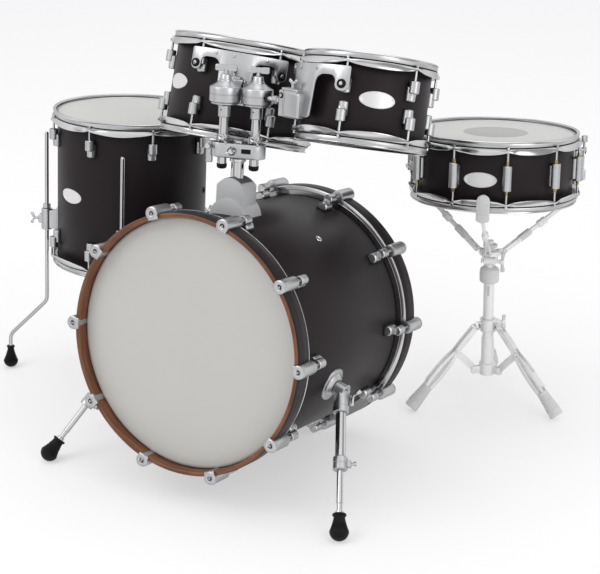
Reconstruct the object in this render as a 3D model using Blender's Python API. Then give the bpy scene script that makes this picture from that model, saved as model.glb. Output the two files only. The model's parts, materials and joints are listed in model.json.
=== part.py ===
"""A five-piece drum kit: bass drum, two mounted toms, floor tom, and a snare drum on its stand.

Metres, +Z up. Every size that can be set by itself is a named value below, and what fits
in or on another piece takes its size from the same values and a named clearance.
"""

import math

import bmesh
import bpy
from mathutils import Matrix, Vector

INCH = 0.0254

# Fits shared by all pieces
CLEARANCE = 0.0003
RUNNING = 0.0005
TURNING = 0.0009
OVERLAP = 0.003
SOLE_DEPTH = 0.003
FLOOR_BLOCK = 1.0
FILM = 0.0012
PIN_RADIUS = 0.0022
PIN_PROUD = 0.002
MOST_LOOKS = 2

# Drum sizes: diameter and shell depth
BASS_SIZE = (20 * INCH, 18 * INCH)
TOM_LEFT_SIZE = (12 * INCH, 0.200)
TOM_RIGHT_SIZE = (10 * INCH, 6.5 * INCH)
FLOOR_TOM_SIZE = (14 * INCH, 14 * INCH)
SNARE_SIZE = (14 * INCH, 5.5 * INCH)
SHELL_WALL = 0.007

# Flat sides that stand for a round drum, a multiple of the number of its lugs
BASS_SIDES = 40
TOM_SIDES = 24
FLOOR_TOM_SIDES = 32
SNARE_SIDES = 30
ROD_SIDES = 6
TUBE_SIDES = 12
SLIM_SIDES = 8

# Rims, heads, rods and lugs of the small drums, measured from the shell's outside
RIM_LIP_THICK = 0.0075
RIM_HEIGHT = 0.0240
RIM_INSIDE = 0.0067
RIM_FLANGE_THICK = 0.0030
RIM_MOUTH = 0.0030
RIM_LIP = 0.0110
RIM_WALL = 0.0088
RIM_FLANGE = 0.0165
FLESH_HOOP = 0.0062
FLESH_HOOP_HEIGHT = 0.009
ROD_RADIUS = 0.0032
ROD_OFF = 0.0125
ROD_HEAD = 0.009
LUG_RADIUS = 0.0105
LUG_START = 0.043
LUG_LENGTH = 0.040
TUBE_LUG_LENGTH = 0.056

# Share of a rubber foot's radius at its narrow end
RUBBER_TAPER = 0.8

# Bass drum hoops, claws and lugs
BASS_TILT = math.radians(8.35)
BASS_HOOP_OVER = 0.0205
BASS_HOOP_THICK = 0.0100
BASS_HOOP_WIDTH = 0.042
BASS_HOOP_REACH = 0.025
BASS_FLESH_HOOP = 0.0140
BASS_FLESH_WIDTH = 0.007
BASS_LUGS = 10
CLAW_CIRCLE_OVER = 0.0025
CLAW_RADIUS = 0.0130
CLAW_FRONT = 0.006
CLAW_HOOK = 0.010
CLAW_RISE = 0.0080
CLAW_LENGTH = 0.049
CLAW_ROD_LENGTH = 0.026
BASS_LUG_LENGTH = 0.034
BASS_LUG_RADIUS = 0.0090

# Spurs of the bass drum. The foot is measured from the shell's side and the front hoop
SPUR_AROUND = math.radians(108)
SPUR_ALONG = 0.205
SPUR_FOOT = (0.123, -0.022)
SPUR_PLATE = (0.034, 0.008)
SPUR_BOSS = (0.018, 0.012)
SPUR_KNUCKLE = 0.024
SPUR_PIN = 0.0035
SPUR_NUT = 0.0044
SPUR_BORE = 0.100
SPUR_TUBE_RADIUS = 0.0105
SPUR_TUBE_START = 0.0175
SPUR_TUBE_LENGTH = 0.150
SPUR_COLLAR = (0.0150, 0.026)
SPUR_ROD_RADIUS = 0.0068
SPUR_ROD_INSIDE = 0.055
SPUR_RUBBER = (0.0200, 0.052)

# Tom holder on top of the bass drum
HOLDER_ALONG = 0.178
BASE_WIDTH = 0.066
BASE_DEPTH = 0.054
BASE_HEIGHT = 0.076
BASE_SADDLE = (0.090, 0.068, 0.034)
BASE_SINK = 0.012
BASE_CROWN = 0.017
POST_RADIUS = 0.0135
POST_BELOW = 0.075
POST_ABOVE = 0.006
POST_STOP = 0.004
POST_HOLE_OVER = 0.0015
BLOCK_LOW = 0.117
BLOCK_TURN = 20.0
BLOCK_HEIGHT = 0.031
BLOCK_HALF_LENGTH = 0.058
BLOCK_HALF_DEPTH = 0.024
ARM_SPACING = 0.068
ARM_RADIUS = 0.0085
ARM_BELOW = 0.021
LOCK = (0.0135, 0.014)
SLEEVE = (0.0125, 0.026)
BALL_HEIGHT = 0.247
BALL_RADIUS = 0.0150
HOUSING_RADIUS = 0.0325
HOUSING_FLOOR = 0.006
HOUSING_HEIGHT = 0.042
HOUSING_DISH = 0.007
HOUSING_MOUTH = 0.0120
HOUSING_MOUTH_WIDE = 0.0156
HOUSING_CREST = 0.8
BALL_CLEARANCE = 0.0011
BALL_BAND = 0.25
BALL_END = (0.4, 0.9)
CAVITY_BAND = 0.3
STEM_RADIUS = 0.0052
STEM_WINDOW = (0.0140, 0.0260)
CAP_NECK = (0.0100, 0.012)
CAP_STEM = (0.0040, 0.012)
CAP_WING = (0.046, 0.009, 0.014)

# Toms: centre of the upper rim's top from the holder's foot, axis, first lug and bracket
TOM_LEFT_FROM_HOLDER = (-0.1311, 0.2741, 0.2938)
TOM_LEFT_AXIS = (0.0221, 0.3163, 0.9484)
TOM_LEFT_LUG = 27.5
TOM_LEFT_BRACKET = 297.5
TOM_RIGHT_FROM_HOLDER = (0.2309, 0.1729, 0.3171)
TOM_RIGHT_AXIS = (-0.0224, 0.3190, 0.9475)
TOM_RIGHT_LUG = 38.5
TOM_RIGHT_BRACKET = 233.5
TOM_LUGS = 6

# Cast bracket of a tom, with its clamp for the holder's rod
BRACKET_THICK = 0.0042
BRACKET_TOP = -0.032
BRACKET_BAND = 0.022
BRACKET_STEM_DROP = 0.110
BRACKET_STEM_PROUD = 0.001
BRACKET_PAST_LUG = 6.0
BRACKET_STEM_WIDTH = 0.050
CLAMP_OFF = 0.036
CLAMP_SIZE = {"left": (0.025, 0.044, 0.050), "right": (0.052, 0.030, 0.054)}
CLAMP_DROP = 0.025
ROD_PAST_CLAMP = 0.004

# Floor tom
FLOOR_TOM_AT = (-0.4991, 0.5436, 0.6596)
FLOOR_TOM_AXIS = (0.0222, 0.0772, 0.9968)
FLOOR_TOM_LUG = 5.0
FLOOR_TOM_LUGS = 8
FLOOR_LEG_AT = (205.0, 300.0, 72.5)
LEG_RADIUS = 0.0050
LEG_OFF = 0.032
LEG_TOP = -0.073
LEG_KNEE = -0.495
LEG_SPREAD = 0.093
LEG_ANKLE = -0.592
LEG_BEND = 0.030
LEG_RUBBER = (0.018, 0.056)
LEG_BRACKET = (0.030, 0.060)
LEG_BRACKET_AT = -0.285

# Snare drum
SNARE_LUG = 14.5
SNARE_LUGS = 10
STRAINER_AROUND = 18.0
STRAINER_SIZE = (0.030, 0.020, 0.074)
STRAINER_AT = -0.079
LEVER_THICK = 0.004
LEVER_WIDTH = 0.016
LEVER_LENGTH = 0.058
LEVER_PIVOT = 0.0050
LEVER_EAR = 0.012
BUTT_SIZE = (0.034, 0.014, 0.034)
WIRE_COUNT = 10
WIRE_RADIUS = 0.0009
WIRE_PITCH = 0.0042
WIRE_LENGTH = 0.268
WIRE_PLATE = (0.018, 0.0016)

# Snare stand
STAND_AT = (0.3373, 0.7620)
STAND_TUBE = (0.0125, 0.0103)
STAND_TUBE_LOW = 0.064
STAND_TUBE_TOP = 0.300
HEIGHT_COLLAR = (0.0190, 0.032)
UPPER_TUBE_RADIUS = 0.0098
UPPER_TUBE_LOW = 0.088
LEG_COLLAR = (0.0200, 0.028)
LEG_COLLAR_AT = 0.190
STAND_LEG_AT = (-9.3, 110.7, 230.7)
STAND_FOOT_RADIUS = 0.1905
PIVOT_RADIUS = 0.031
TAB = (0.009, 0.018)
HUB_AT = 0.080
HUB_RING = (0.0190, 0.024)
EAR_THICK = 0.0018
BAR = (0.003, 0.012)
BAR_GAP = 0.0048
STRUT_BAR = (0.004, 0.010)
STAND_RUBBER = (0.0165, 0.052)
STAND_RUBBER_ABOVE = 0.6

# Snare basket: tilter height, snare drum's axis and the arms
TILTER_AT = 0.347
SNARE_AXIS = (-0.0286, 0.1071, 0.9938)
BASKET_ARM_AT = (288.0, 48.0, 168.0)
DRUM_ABOVE_TILTER = 0.150
BARREL = (0.0115, 0.026)
FORK_EAR = (0.0040, 0.0090)
BASKET_HUB = (0.0240, 0.012, 0.020)
BASKET_PIVOT = (0.034, 0.022)
BASKET_TAB = 0.006
BASKET_CHEEK = 0.003
BASKET_FORK = 0.040
BASKET_ARM = (0.008, 0.012)
BASKET_STRAP = 0.8
BASKET_LAP = 0.75
TIP_SIZE = (0.030, 0.012, 0.060)
TIP_LEDGE = 0.012

# Wing bolt: stem radius, reach, span, wing height and thickness
WING = (0.0035, 0.012, 0.026, 0.014, 0.004)
WING_WAIST = 0.35

# Heights that follow from the sizes above
FLANGE_AT = -RIM_HEIGHT
FILM_TOP = -RIM_LIP_THICK - CLEARANCE
SHELL_TOP = FILM_TOP - FILM - CLEARANCE
BASS_LENGTH = BASS_SIZE[1] + 2 * (BASS_HOOP_REACH + CLEARANCE)


def polar(radius, degrees, height=0.0):
    """The point at this radius, angle about Z and height."""
    angle = math.radians(degrees)
    return Vector((radius * math.cos(angle), radius * math.sin(angle), height))


def frame_on(origin, z_axis, x_hint=(1.0, 0.0, 0.0)):
    """A frame at origin with this Z axis, whose X axis is as near to x_hint as it can be."""
    z = Vector(z_axis).normalized()
    y = z.cross(Vector(x_hint)).normalized()
    frame = Matrix((y.cross(z), y, z)).transposed().to_4x4()
    frame.translation = Vector(origin)
    return frame


def turned_by(degrees):
    return Matrix.Rotation(math.radians(degrees), 4, "Z")


def at(x=0.0, y=0.0, z=0.0):
    return Matrix.Translation((x, y, z))


def sideways(distance, height):
    """A frame with Z towards -Y, this far from the Z axis and at this height."""
    return at(y=-distance, z=height) @ Matrix.Rotation(math.pi / 2, 4, "X")


# Shapes: each is a bmesh of one or more closed bodies


def close_up(shape):
    """Fill the open ends and turn every face outwards."""
    open_edges = [edge for edge in shape.edges if edge.is_boundary]
    if open_edges:
        bmesh.ops.holes_fill(shape, edges=open_edges, sides=0)
    bmesh.ops.recalc_face_normals(shape, faces=shape.faces)
    return shape


def turned(section, sides, ring=False):
    """A body turned about Z from (radius, height) points. Each radius is measured to the flats.

    A ring's section closes on itself, and any other section ends in two flat faces.
    """
    shape = bmesh.new()
    corner = 1.0 / math.cos(math.pi / sides)
    start = math.pi / sides
    points = [
        shape.verts.new((r * corner * math.cos(start), r * corner * math.sin(start), z))
        for r, z in section
    ]
    edges = [shape.edges.new(pair) for pair in zip(points, points[1:])]
    if ring:
        edges.append(shape.edges.new((points[-1], points[0])))
    bmesh.ops.spin(
        shape, geom=points + edges, cent=(0, 0, 0), axis=(0, 0, 1),
        angle=math.tau, steps=sides, use_merge=True,
    )
    return close_up(shape)


def disc(radius, low, high, sides):
    return turned([(radius, low), (radius, high)], sides)


def prism(outline, thickness):
    """The (x, y) outline as a plate of this thickness, centred on the XY plane."""
    shape = bmesh.new()
    face = shape.faces.new([shape.verts.new((x, y, -thickness / 2)) for x, y in outline])
    rise = bmesh.ops.extrude_face_region(shape, geom=[face])["geom"]
    lifted = [item for item in rise if isinstance(item, bmesh.types.BMVert)]
    bmesh.ops.translate(shape, verts=lifted, vec=(0, 0, thickness))
    return close_up(shape)


def upright_prism(outline, thickness):
    """The (x, z) outline as a plate standing in the XZ plane."""
    return moved(prism(outline, thickness), Matrix.Rotation(math.pi / 2, 4, "X"))


def box(size, centre=(0.0, 0.0, 0.0)):
    shape = bmesh.new()
    scale = Matrix.Diagonal((*size, 1.0))
    bmesh.ops.create_cube(shape, size=1.0, matrix=Matrix.Translation(centre) @ scale)
    return close_up(shape)


def bar_outline(start, end, width, past):
    """A straight flat bar from start to end in its plane, with both ends chamfered, past its pivots."""
    along = (Vector(end) - Vector(start)).normalized()
    side = Vector((-along.y, along.x)) * width / 2
    low, high = Vector(start) - along * past, Vector(end) + along * past
    chamfer = along * width / 4
    return [
        low + side / 2, low + chamfer + side, high - chamfer + side, high + side / 2,
        high - side / 2, high - chamfer - side, low + chamfer - side, low - side / 2,
    ]


def rounded_route(points, radius, steps=3):
    """The points of a flat route with each inner corner rounded by an arc."""
    route = [Vector(points[0])]
    for before, corner, after in zip(points, points[1:], points[2:]):
        back = (Vector(before) - Vector(corner)).normalized()
        ahead = (Vector(after) - Vector(corner)).normalized()
        half = back.angle(ahead) / 2
        centre = Vector(corner) + (back + ahead).normalized() * radius / math.sin(half)
        start = Vector(corner) + back * radius / math.tan(half) - centre
        end = Vector(corner) + ahead * radius / math.tan(half) - centre
        sweep = start.angle(end)
        for step in range(steps + 1):
            part = sweep * step / steps
            route.append(centre + (start * math.sin(sweep - part) + end * math.sin(part)) / math.sin(sweep))
    route.append(Vector(points[-1]))
    return route


def swept(route, radius, sides, across=(0.0, 1.0, 0.0)):
    """A round rod along a route that lies flat across the given direction."""
    shape = bmesh.new()
    across = Vector(across).normalized()
    corner = radius / math.cos(math.pi / sides)
    rings = []
    points = [Vector(point) for point in route]
    for index, point in enumerate(points):
        arriving = point - points[index - 1] if index else points[1] - point
        leaving = points[index + 1] - point if index + 1 < len(points) else arriving
        along = (arriving.normalized() + leaving.normalized()).normalized()
        side = along.cross(across) / math.cos(arriving.angle(leaving) / 2)
        angles = [math.tau * (step + 0.5) / sides for step in range(sides)]
        rings.append([
            shape.verts.new(point + corner * (across * math.cos(a) + side * math.sin(a)))
            for a in angles
        ])
    for low, high in zip(rings, rings[1:]):
        for step in range(sides):
            after = (step + 1) % sides
            shape.faces.new((low[step], low[after], high[after], high[step]))
    return close_up(shape)


def wing_bolt():
    """A wing bolt along +Z from its seat at the origin."""
    radius, reach, span, rise, thick = WING
    stem = disc(radius, -radius, reach, ROD_SIDES)
    low = reach - rise * WING_WAIST
    high = low + rise
    outline = [
        (-span / 2, reach), (-span / 2 + thick, low), (span / 2 - thick, low), (span / 2, reach),
        (span / 2 - thick, high), (0.0, reach), (-span / 2 + thick, high),
    ]
    return fused(stem, upright_prism(outline, thick))


def moved(shape, matrix):
    shape.transform(matrix)
    if matrix.determinant() < 0:
        bmesh.ops.reverse_faces(shape, faces=shape.faces)
    return shape


def looking(shape, slot):
    """Give every face this material slot."""
    for face in shape.faces:
        face.material_index = slot
    return shape


def gathered(shape, matrices):
    """Copies of a shape at each matrix, side by side in one bmesh."""
    group = bmesh.new()
    for matrix in matrices:
        copy = moved(shape.copy(), matrix)
        flat = bpy.data.meshes.new("copy")
        copy.to_mesh(flat)
        copy.free()
        group.from_mesh(flat)
        bpy.data.meshes.remove(flat)
    shape.free()
    return group


def combined(base, others, operation):
    """The base after a Boolean with each of the others, as one bmesh."""
    made = []
    for shape in [base, *others]:
        mesh = bpy.data.meshes.new("shape")
        shape.to_mesh(mesh)
        shape.free()
        made.append(bpy.data.objects.new("shape", mesh))
        bpy.context.scene.collection.objects.link(made[-1])
    for item in made:
        for slot in range(MOST_LOOKS):
            item.data.materials.append(None)
    for other in made[1:]:
        step = made[0].modifiers.new("join", "BOOLEAN")
        step.solver = "EXACT"
        step.operation = operation
        step.object = other
    graph = bpy.context.evaluated_depsgraph_get()
    result = bmesh.new()
    result.from_object(made[0], graph)
    for item in made:
        mesh = item.data
        bpy.data.objects.remove(item)
        bpy.data.meshes.remove(mesh)
    bmesh.ops.remove_doubles(result, verts=result.verts, dist=1e-6)
    return result


def fused(base, *others):
    return combined(base, others, "UNION")


def cut(base, *others):
    return combined(base, others, "DIFFERENCE")


# Placing


class Seat:
    """An empty that pieces are built on, and its frame in the world."""

    def __init__(self, name, world, parent=None):
        self.world = world
        self.empty = bpy.data.objects.new(name, None)
        bpy.context.scene.collection.objects.link(self.empty)
        self.empty.empty_display_size = 0.03
        self.empty.parent = parent.empty if parent else None
        self.empty.matrix_local = parent.world.inverted() @ world if parent else world


def material(name, colour, roughness, metallic=0.0):
    made = bpy.data.materials.new(name)
    made.use_nodes = True
    shader = made.node_tree.nodes["Principled BSDF"]
    shader.inputs["Base Color"].default_value = (*colour, 1.0)
    shader.inputs["Roughness"].default_value = roughness
    shader.inputs["Metallic"].default_value = metallic
    made.diffuse_color = (*colour, 1.0)
    return made


def piece(name, shape, seat, *looks):
    """One node: the shape as an object on its seat, with its materials."""
    mesh = bpy.data.meshes.new(name)
    shape.to_mesh(mesh)
    shape.free()
    for look in looks:
        mesh.materials.append(look)
    mesh.shade_smooth()
    mesh.set_sharp_from_angle(angle=math.radians(40))
    made = bpy.data.objects.new(name, mesh)
    bpy.context.scene.collection.objects.link(made)
    made.parent = seat.empty
    return made


def stood(shape, frame, direction):
    """The shape pushed along a direction of its frame until it stands on the floor with a flat sole."""
    way = Vector(direction)
    corners = [frame @ vert.co for vert in shape.verts]
    lowest = min(corners, key=lambda corner: corner.z)
    fall = -(frame.to_3x3() @ way).z
    shape = moved(shape, at(*(way * (lowest.z + SOLE_DEPTH) / fall)))
    floor = box((FLOOR_BLOCK, FLOOR_BLOCK, FLOOR_BLOCK), (lowest.x, lowest.y, -FLOOR_BLOCK / 2))
    return cut(shape, moved(floor, frame.inverted()))


# Lugs, rods and rims


def rod_circle(radius):
    return radius + ROD_OFF


def lug(radius, rod_at, half_width, low, high):
    """A lug at +X, flat against the shell, whose far end is rounded round the rod."""
    outer = rod_at + half_width
    shape = prism([
        (radius + CLEARANCE, -half_width), (rod_at + half_width / 2, -half_width), (outer, -half_width / 2),
        (outer, half_width / 2), (rod_at + half_width / 2, half_width), (radius + CLEARANCE, half_width),
    ], high - low)
    return moved(shape, at(z=(low + high) / 2))


def rim(radius, sides):
    return turned([
        (radius + RIM_MOUTH, 0.0), (radius + RIM_LIP, 0.0), (radius + RIM_WALL, -RIM_LIP_THICK / 2),
        (radius + RIM_WALL, FLANGE_AT + RIM_FLANGE_THICK),
        (radius + RIM_FLANGE, FLANGE_AT + RIM_FLANGE_THICK / 2),
        (radius + RIM_INSIDE, FLANGE_AT), (radius + RIM_INSIDE, -RIM_LIP_THICK),
    ], sides, ring=True)


def rods(radius, count, low, high):
    """Tension rods through the rim's flange, from height low to height high."""
    rod = moved(disc(ROD_RADIUS, low, high, ROD_SIDES), at(x=rod_circle(radius)))
    return gathered(rod, [turned_by(360 / count * index) for index in range(count)])


def lugs(radius, count, low, high):
    one = lug(radius, rod_circle(radius), LUG_RADIUS, low, high)
    return gathered(one, [turned_by(360 / count * index) for index in range(count)])


def head(radius, sides):
    return turned([
        (radius + FLESH_HOOP, FILM_TOP), (radius + FLESH_HOOP, FILM_TOP - FLESH_HOOP_HEIGHT),
        (radius + CLEARANCE, FILM_TOP - FLESH_HOOP_HEIGHT), (radius + CLEARANCE, FILM_TOP - FILM),
    ], sides)


def shell(radius, sides, high, low):
    return turned([
        (radius, high), (radius, low), (radius - SHELL_WALL, low), (radius - SHELL_WALL, high),
    ], sides, ring=True)


def flipped(total):
    """Upside down, for the same drum's other end, with its lugs in line."""
    return at(z=-total) @ Matrix.Rotation(math.pi, 4, "X")


def small_drum(name, seat, size, sides, count, looks, extra=(), tube_lugs=False):
    """Shell, two heads and two rims with their rods and lugs. The rim's top is at Z = 0."""
    radius, total = size[0] / 2, drum_height(size)
    body = shell(radius, sides, SHELL_TOP, -total - SHELL_TOP)
    for part in extra:
        body = fused(body, looking(part, 1))
    piece(f"{name}_shell", body, seat, looks["shell"], CHROME)
    rod_top = FLANGE_AT + ROD_HEAD + RIM_FLANGE_THICK
    if tube_lugs:
        low, high = -(total + TUBE_LUG_LENGTH) / 2, -(total - TUBE_LUG_LENGTH) / 2
    else:
        low, high = -LUG_START - LUG_LENGTH, -LUG_START
    for end, place in (("top", Matrix()), ("bottom", flipped(total))):
        if tube_lugs and end == "bottom":
            sticks = [rods(radius, count, high + CLEARANCE, rod_top)]
        else:
            sticks = [rods(radius, count, high - OVERLAP, rod_top), lugs(radius, count, low, high)]
        piece(f"{name}_{end}_rim", moved(fused(rim(radius, sides), *sticks), place), seat, CHROME)
    piece(f"{name}_batter_head", head(radius, sides), seat, looks["batter"])
    piece(f"{name}_resonant_head", moved(head(radius, sides), flipped(total)), seat, looks["resonant"])


def drum_height(size):
    """From rim top to rim top."""
    return size[1] - 2 * SHELL_TOP


# Bass drum


def bass_hoop(radius, sides):
    """The wooden hoop with its claws, rods and lugs, front face at Z = 0 and drum towards +Z."""
    outer = radius + BASS_HOOP_OVER
    hoop = turned([
        (outer, BASS_HOOP_WIDTH), (outer, 0.0), (outer - BASS_HOOP_THICK, 0.0),
        (outer - BASS_HOOP_THICK, BASS_HOOP_WIDTH),
    ], sides, ring=True)
    rod_at = outer + CLAW_CIRCLE_OVER
    top = rod_at + CLAW_RISE
    half = CLAW_RADIUS
    body = prism([
        (outer - 2 * OVERLAP, -half), (rod_at, -half), (top, -half / 2),
        (top, half / 2), (rod_at, half), (outer - 2 * OVERLAP, half),
    ], CLAW_FRONT + CLAW_LENGTH)
    hook_size = (CLAW_HOOK + OVERLAP, 2 * half, CLAW_FRONT + OVERLAP)
    hook = box(hook_size, (outer - hook_size[0] / 2, 0, hook_size[2] / 2 - CLAW_FRONT))
    rod_end = CLAW_LENGTH + CLAW_ROD_LENGTH
    rod = disc(ROD_RADIUS, CLAW_LENGTH - OVERLAP, rod_end + OVERLAP, ROD_SIDES)
    claw = fused(
        moved(body, at(z=(CLAW_LENGTH - CLAW_FRONT) / 2)), hook, moved(rod, at(x=rod_at)),
        lug(radius, rod_at, BASS_LUG_RADIUS, rod_end, rod_end + BASS_LUG_LENGTH),
    )
    step = 360 / BASS_LUGS
    claws = gathered(looking(claw, 1), [turned_by(90 + step * (index + 0.5)) for index in range(BASS_LUGS)])
    return fused(hoop, claws)


def bass_head(radius, sides):
    film = BASS_HOOP_REACH
    under = BASS_HOOP_WIDTH + CLEARANCE
    inner = radius + CLEARANCE
    return turned([
        (inner + FILM, film - FILM), (inner + FILM, under), (radius + BASS_FLESH_HOOP, under),
        (radius + BASS_FLESH_HOOP, under + BASS_FLESH_WIDTH), (inner, under + BASS_FLESH_WIDTH),
        (inner, film),
    ][::-1], sides)


def bass_drum(seat):
    radius, depth, sides = BASS_SIZE[0] / 2, BASS_SIZE[1], BASS_SIDES
    start = BASS_HOOP_REACH + CLEARANCE
    body = shell(radius, sides, start + depth, start)
    post_hole = disc(POST_RADIUS + POST_HOLE_OVER, 0.0, 2 * radius, TUBE_SIDES)
    across = Matrix.Rotation(-math.pi / 2, 4, "X")
    body = cut(body, moved(post_hole, at(z=HOLDER_ALONG) @ across))
    piece("bass_shell", body, seat, BLACK_SHELL)
    turn_round = at(z=BASS_LENGTH) @ Matrix.Rotation(math.pi, 4, "Y")
    piece("bass_hoop_front", bass_hoop(radius, sides), seat, WOOD, CHROME)
    piece("bass_hoop_rear", moved(bass_hoop(radius, sides), turn_round), seat, WOOD, CHROME)
    piece("bass_head_front", bass_head(radius, sides), seat, WHITE_HEAD)
    piece("bass_head_rear", moved(bass_head(radius, sides), turn_round), seat, WHITE_HEAD)


def bass_surface(around, along):
    """A frame on the bass drum's shell: Z out of it, X along it towards the drummer."""
    turn = Matrix.Rotation(around, 4, "Z")
    side = turn @ Vector((0, 1, 0))
    origin = side * (BASS_SIZE[0] / 2) + Vector((0, 0, along))
    return frame_on(origin, side, (0, 0, 1))


def shell_cutter(clearance):
    return disc(BASS_SIZE[0] / 2 + clearance, -BASS_LENGTH, 2 * BASS_LENGTH, BASS_SIDES)


# Spurs


def spur(side, bass_seat):
    """Bracket, tube and rod on one side: the tube swings on the bracket and the rod slides in it."""
    name = "left" if side < 0 else "right"
    mount = bass_surface(side * SPUR_AROUND, SPUR_ALONG)
    plate = disc(SPUR_PLATE[0], -2 * SPUR_PLATE[1], SPUR_PLATE[1], TUBE_SIDES)
    boss = disc(SPUR_BOSS[0], 0.0, SPUR_BOSS[1], TUBE_SIDES)
    nut_at = SPUR_BOSS[1] + SPUR_KNUCKLE + 2 * CLEARANCE
    pin = disc(SPUR_PIN, 0.0, nut_at + SPUR_NUT / 2, SLIM_SIDES)
    nut = disc(2 * SPUR_PIN, nut_at, nut_at + SPUR_NUT, SLIM_SIDES)
    bracket = moved(fused(plate, boss, pin, nut), mount)
    bracket = cut(bracket, shell_cutter(CLEARANCE))
    piece(f"spur_bracket_{name}", bracket, bass_seat, CHROME)

    pivot = bass_seat.world @ mount @ Vector((0, 0, SPUR_BOSS[1] + CLEARANCE + SPUR_KNUCKLE / 2))
    foot = Vector((side * (BASS_SIZE[0] / 2 + SPUR_FOOT[0]), SPUR_FOOT[1], 0.0))
    outwards = (bass_seat.world @ mount).to_3x3() @ Vector((0, 0, 1))
    hinge = Seat(f"spur_{name}_hinge", frame_on(pivot, outwards, foot - pivot), bass_seat)
    reach = hinge.world.inverted() @ foot
    leg = Seat(f"spur_{name}_slide", hinge.world @ frame_on((0, 0, 0), reach, (0, 1, 0)), hinge)

    knuckle = disc(SPUR_BOSS[0] - CLEARANCE, -SPUR_KNUCKLE / 2, SPUR_KNUCKLE / 2, TUBE_SIDES)
    to_leg = hinge.world.inverted() @ leg.world
    tube = disc(SPUR_TUBE_RADIUS, SPUR_TUBE_START, SPUR_TUBE_LENGTH, TUBE_SIDES)
    collar = disc(SPUR_COLLAR[0], SPUR_TUBE_LENGTH - OVERLAP, SPUR_TUBE_LENGTH + SPUR_COLLAR[1], TUBE_SIDES)
    wing = moved(wing_bolt(), sideways(SPUR_COLLAR[0], SPUR_TUBE_LENGTH + SPUR_COLLAR[1] / 2))
    carrier = fused(knuckle, moved(fused(tube, collar, wing), to_leg))
    end = SPUR_TUBE_LENGTH + SPUR_COLLAR[1]
    bore = disc(SPUR_ROD_RADIUS + RUNNING, SPUR_TUBE_LENGTH - SPUR_BORE, end + OVERLAP, TUBE_SIDES)
    pivot_bore = disc(SPUR_PIN + RUNNING, -SPUR_KNUCKLE, SPUR_KNUCKLE, SLIM_SIDES)
    carrier = cut(carrier, moved(bore, to_leg), pivot_bore)
    piece(f"spur_tube_{name}", carrier, hinge, CHROME)

    rubber_top = reach.length - SPUR_RUBBER[1]
    foot_end = looking(turned([
        (SPUR_RUBBER[0] * RUBBER_TAPER, rubber_top), (SPUR_RUBBER[0], rubber_top + SPUR_RUBBER[1] / 3),
        (SPUR_RUBBER[0], reach.length),
    ], TUBE_SIDES), 1)
    foot_end = stood(foot_end, leg.world, (0, 0, 1))
    rod = disc(SPUR_ROD_RADIUS, end - SPUR_ROD_INSIDE, rubber_top + SPUR_RUBBER[0], TUBE_SIDES)
    piece(f"spur_rod_{name}", fused(rod, foot_end), leg, CHROME, RUBBER)


# Tom holder


def holder(bass_seat):
    """The base on the bass drum, the post, the block, and both arms. Returns the arms' seats."""
    on_shell = frame_on((0, BASS_SIZE[0] / 2, HOLDER_ALONG), (0, 1, 0), (-1, 0, 0))
    saddle = Seat("holder_base", bass_seat.world @ on_shell, bass_seat)
    half = BASE_WIDTH / 2
    crown = [(half * (3 - step) / 3, BASE_HEIGHT - BASE_CROWN * ((3 - step) / 3) ** 2) for step in range(7)]
    arch = [(-half, -BASE_SINK), (half, -BASE_SINK)] + crown
    wide, deep, high = BASE_SADDLE
    half_round = [polar(1.0, angle) for angle in range(0, 181, 30)]
    saddle_outline = [(point.x * wide / 2, point.y * (high + BASE_SINK) - BASE_SINK) for point in half_round]
    hump = upright_prism(saddle_outline, deep)
    wing = moved(wing_bolt(), turned_by(180) @ sideways(BASE_DEPTH / 2, BASE_HEIGHT / 2))
    base = fused(upright_prism(arch, BASE_DEPTH), hump, wing)
    curve = moved(shell_cutter(CLEARANCE), saddle.world.inverted() @ bass_seat.world)
    bore = disc(POST_RADIUS + RUNNING, -BASE_SINK * 2, BASE_HEIGHT * 2, TUBE_SIDES)
    piece("tom_mount_base", cut(base, curve, bore), saddle, CAST_METAL)

    slide = Seat("tom_post_slide", saddle.world, saddle)
    top = BLOCK_LOW + BLOCK_HEIGHT
    post = disc(POST_RADIUS, -POST_BELOW, top + POST_ABOVE, TUBE_SIDES)
    stop_top = BLOCK_LOW - CLEARANCE
    stop = disc(POST_RADIUS + POST_STOP, stop_top - 2 * POST_STOP, stop_top, TUBE_SIDES)
    piece("tom_post", fused(post, stop), slide, CHROME)

    swivel = Seat("tom_block_swivel", saddle.world @ turned_by(BLOCK_TURN), slide)
    straight = BLOCK_HALF_LENGTH - BLOCK_HALF_DEPTH
    bend = [polar(BLOCK_HALF_DEPTH, angle) for angle in range(-90, 91, 45)]
    outline = [(straight + point.x, point.y) for point in bend]
    outline += [(-x, -y) for x, y in outline]
    block = moved(prism(outline, BLOCK_HEIGHT), at(z=BLOCK_LOW + BLOCK_HEIGHT / 2))
    bores = [disc(POST_RADIUS + TURNING, 0.0, 2 * top, TUBE_SIDES)]
    for x in (-ARM_SPACING / 2, ARM_SPACING / 2):
        bores.append(moved(disc(ARM_RADIUS + TURNING, 0.0, 2 * top, TUBE_SIDES), at(x=x)))
    piece("tom_clamp_block", cut(block, *bores), swivel, CAST_METAL)
    places = {side: swivel.world @ at(x=side * ARM_SPACING / 2) for side in (-1, 1)}
    return {side: Seat(f"tom_arm_{'left' if side < 0 else 'right'}_swivel", places[side], swivel) for side in places}


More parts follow.
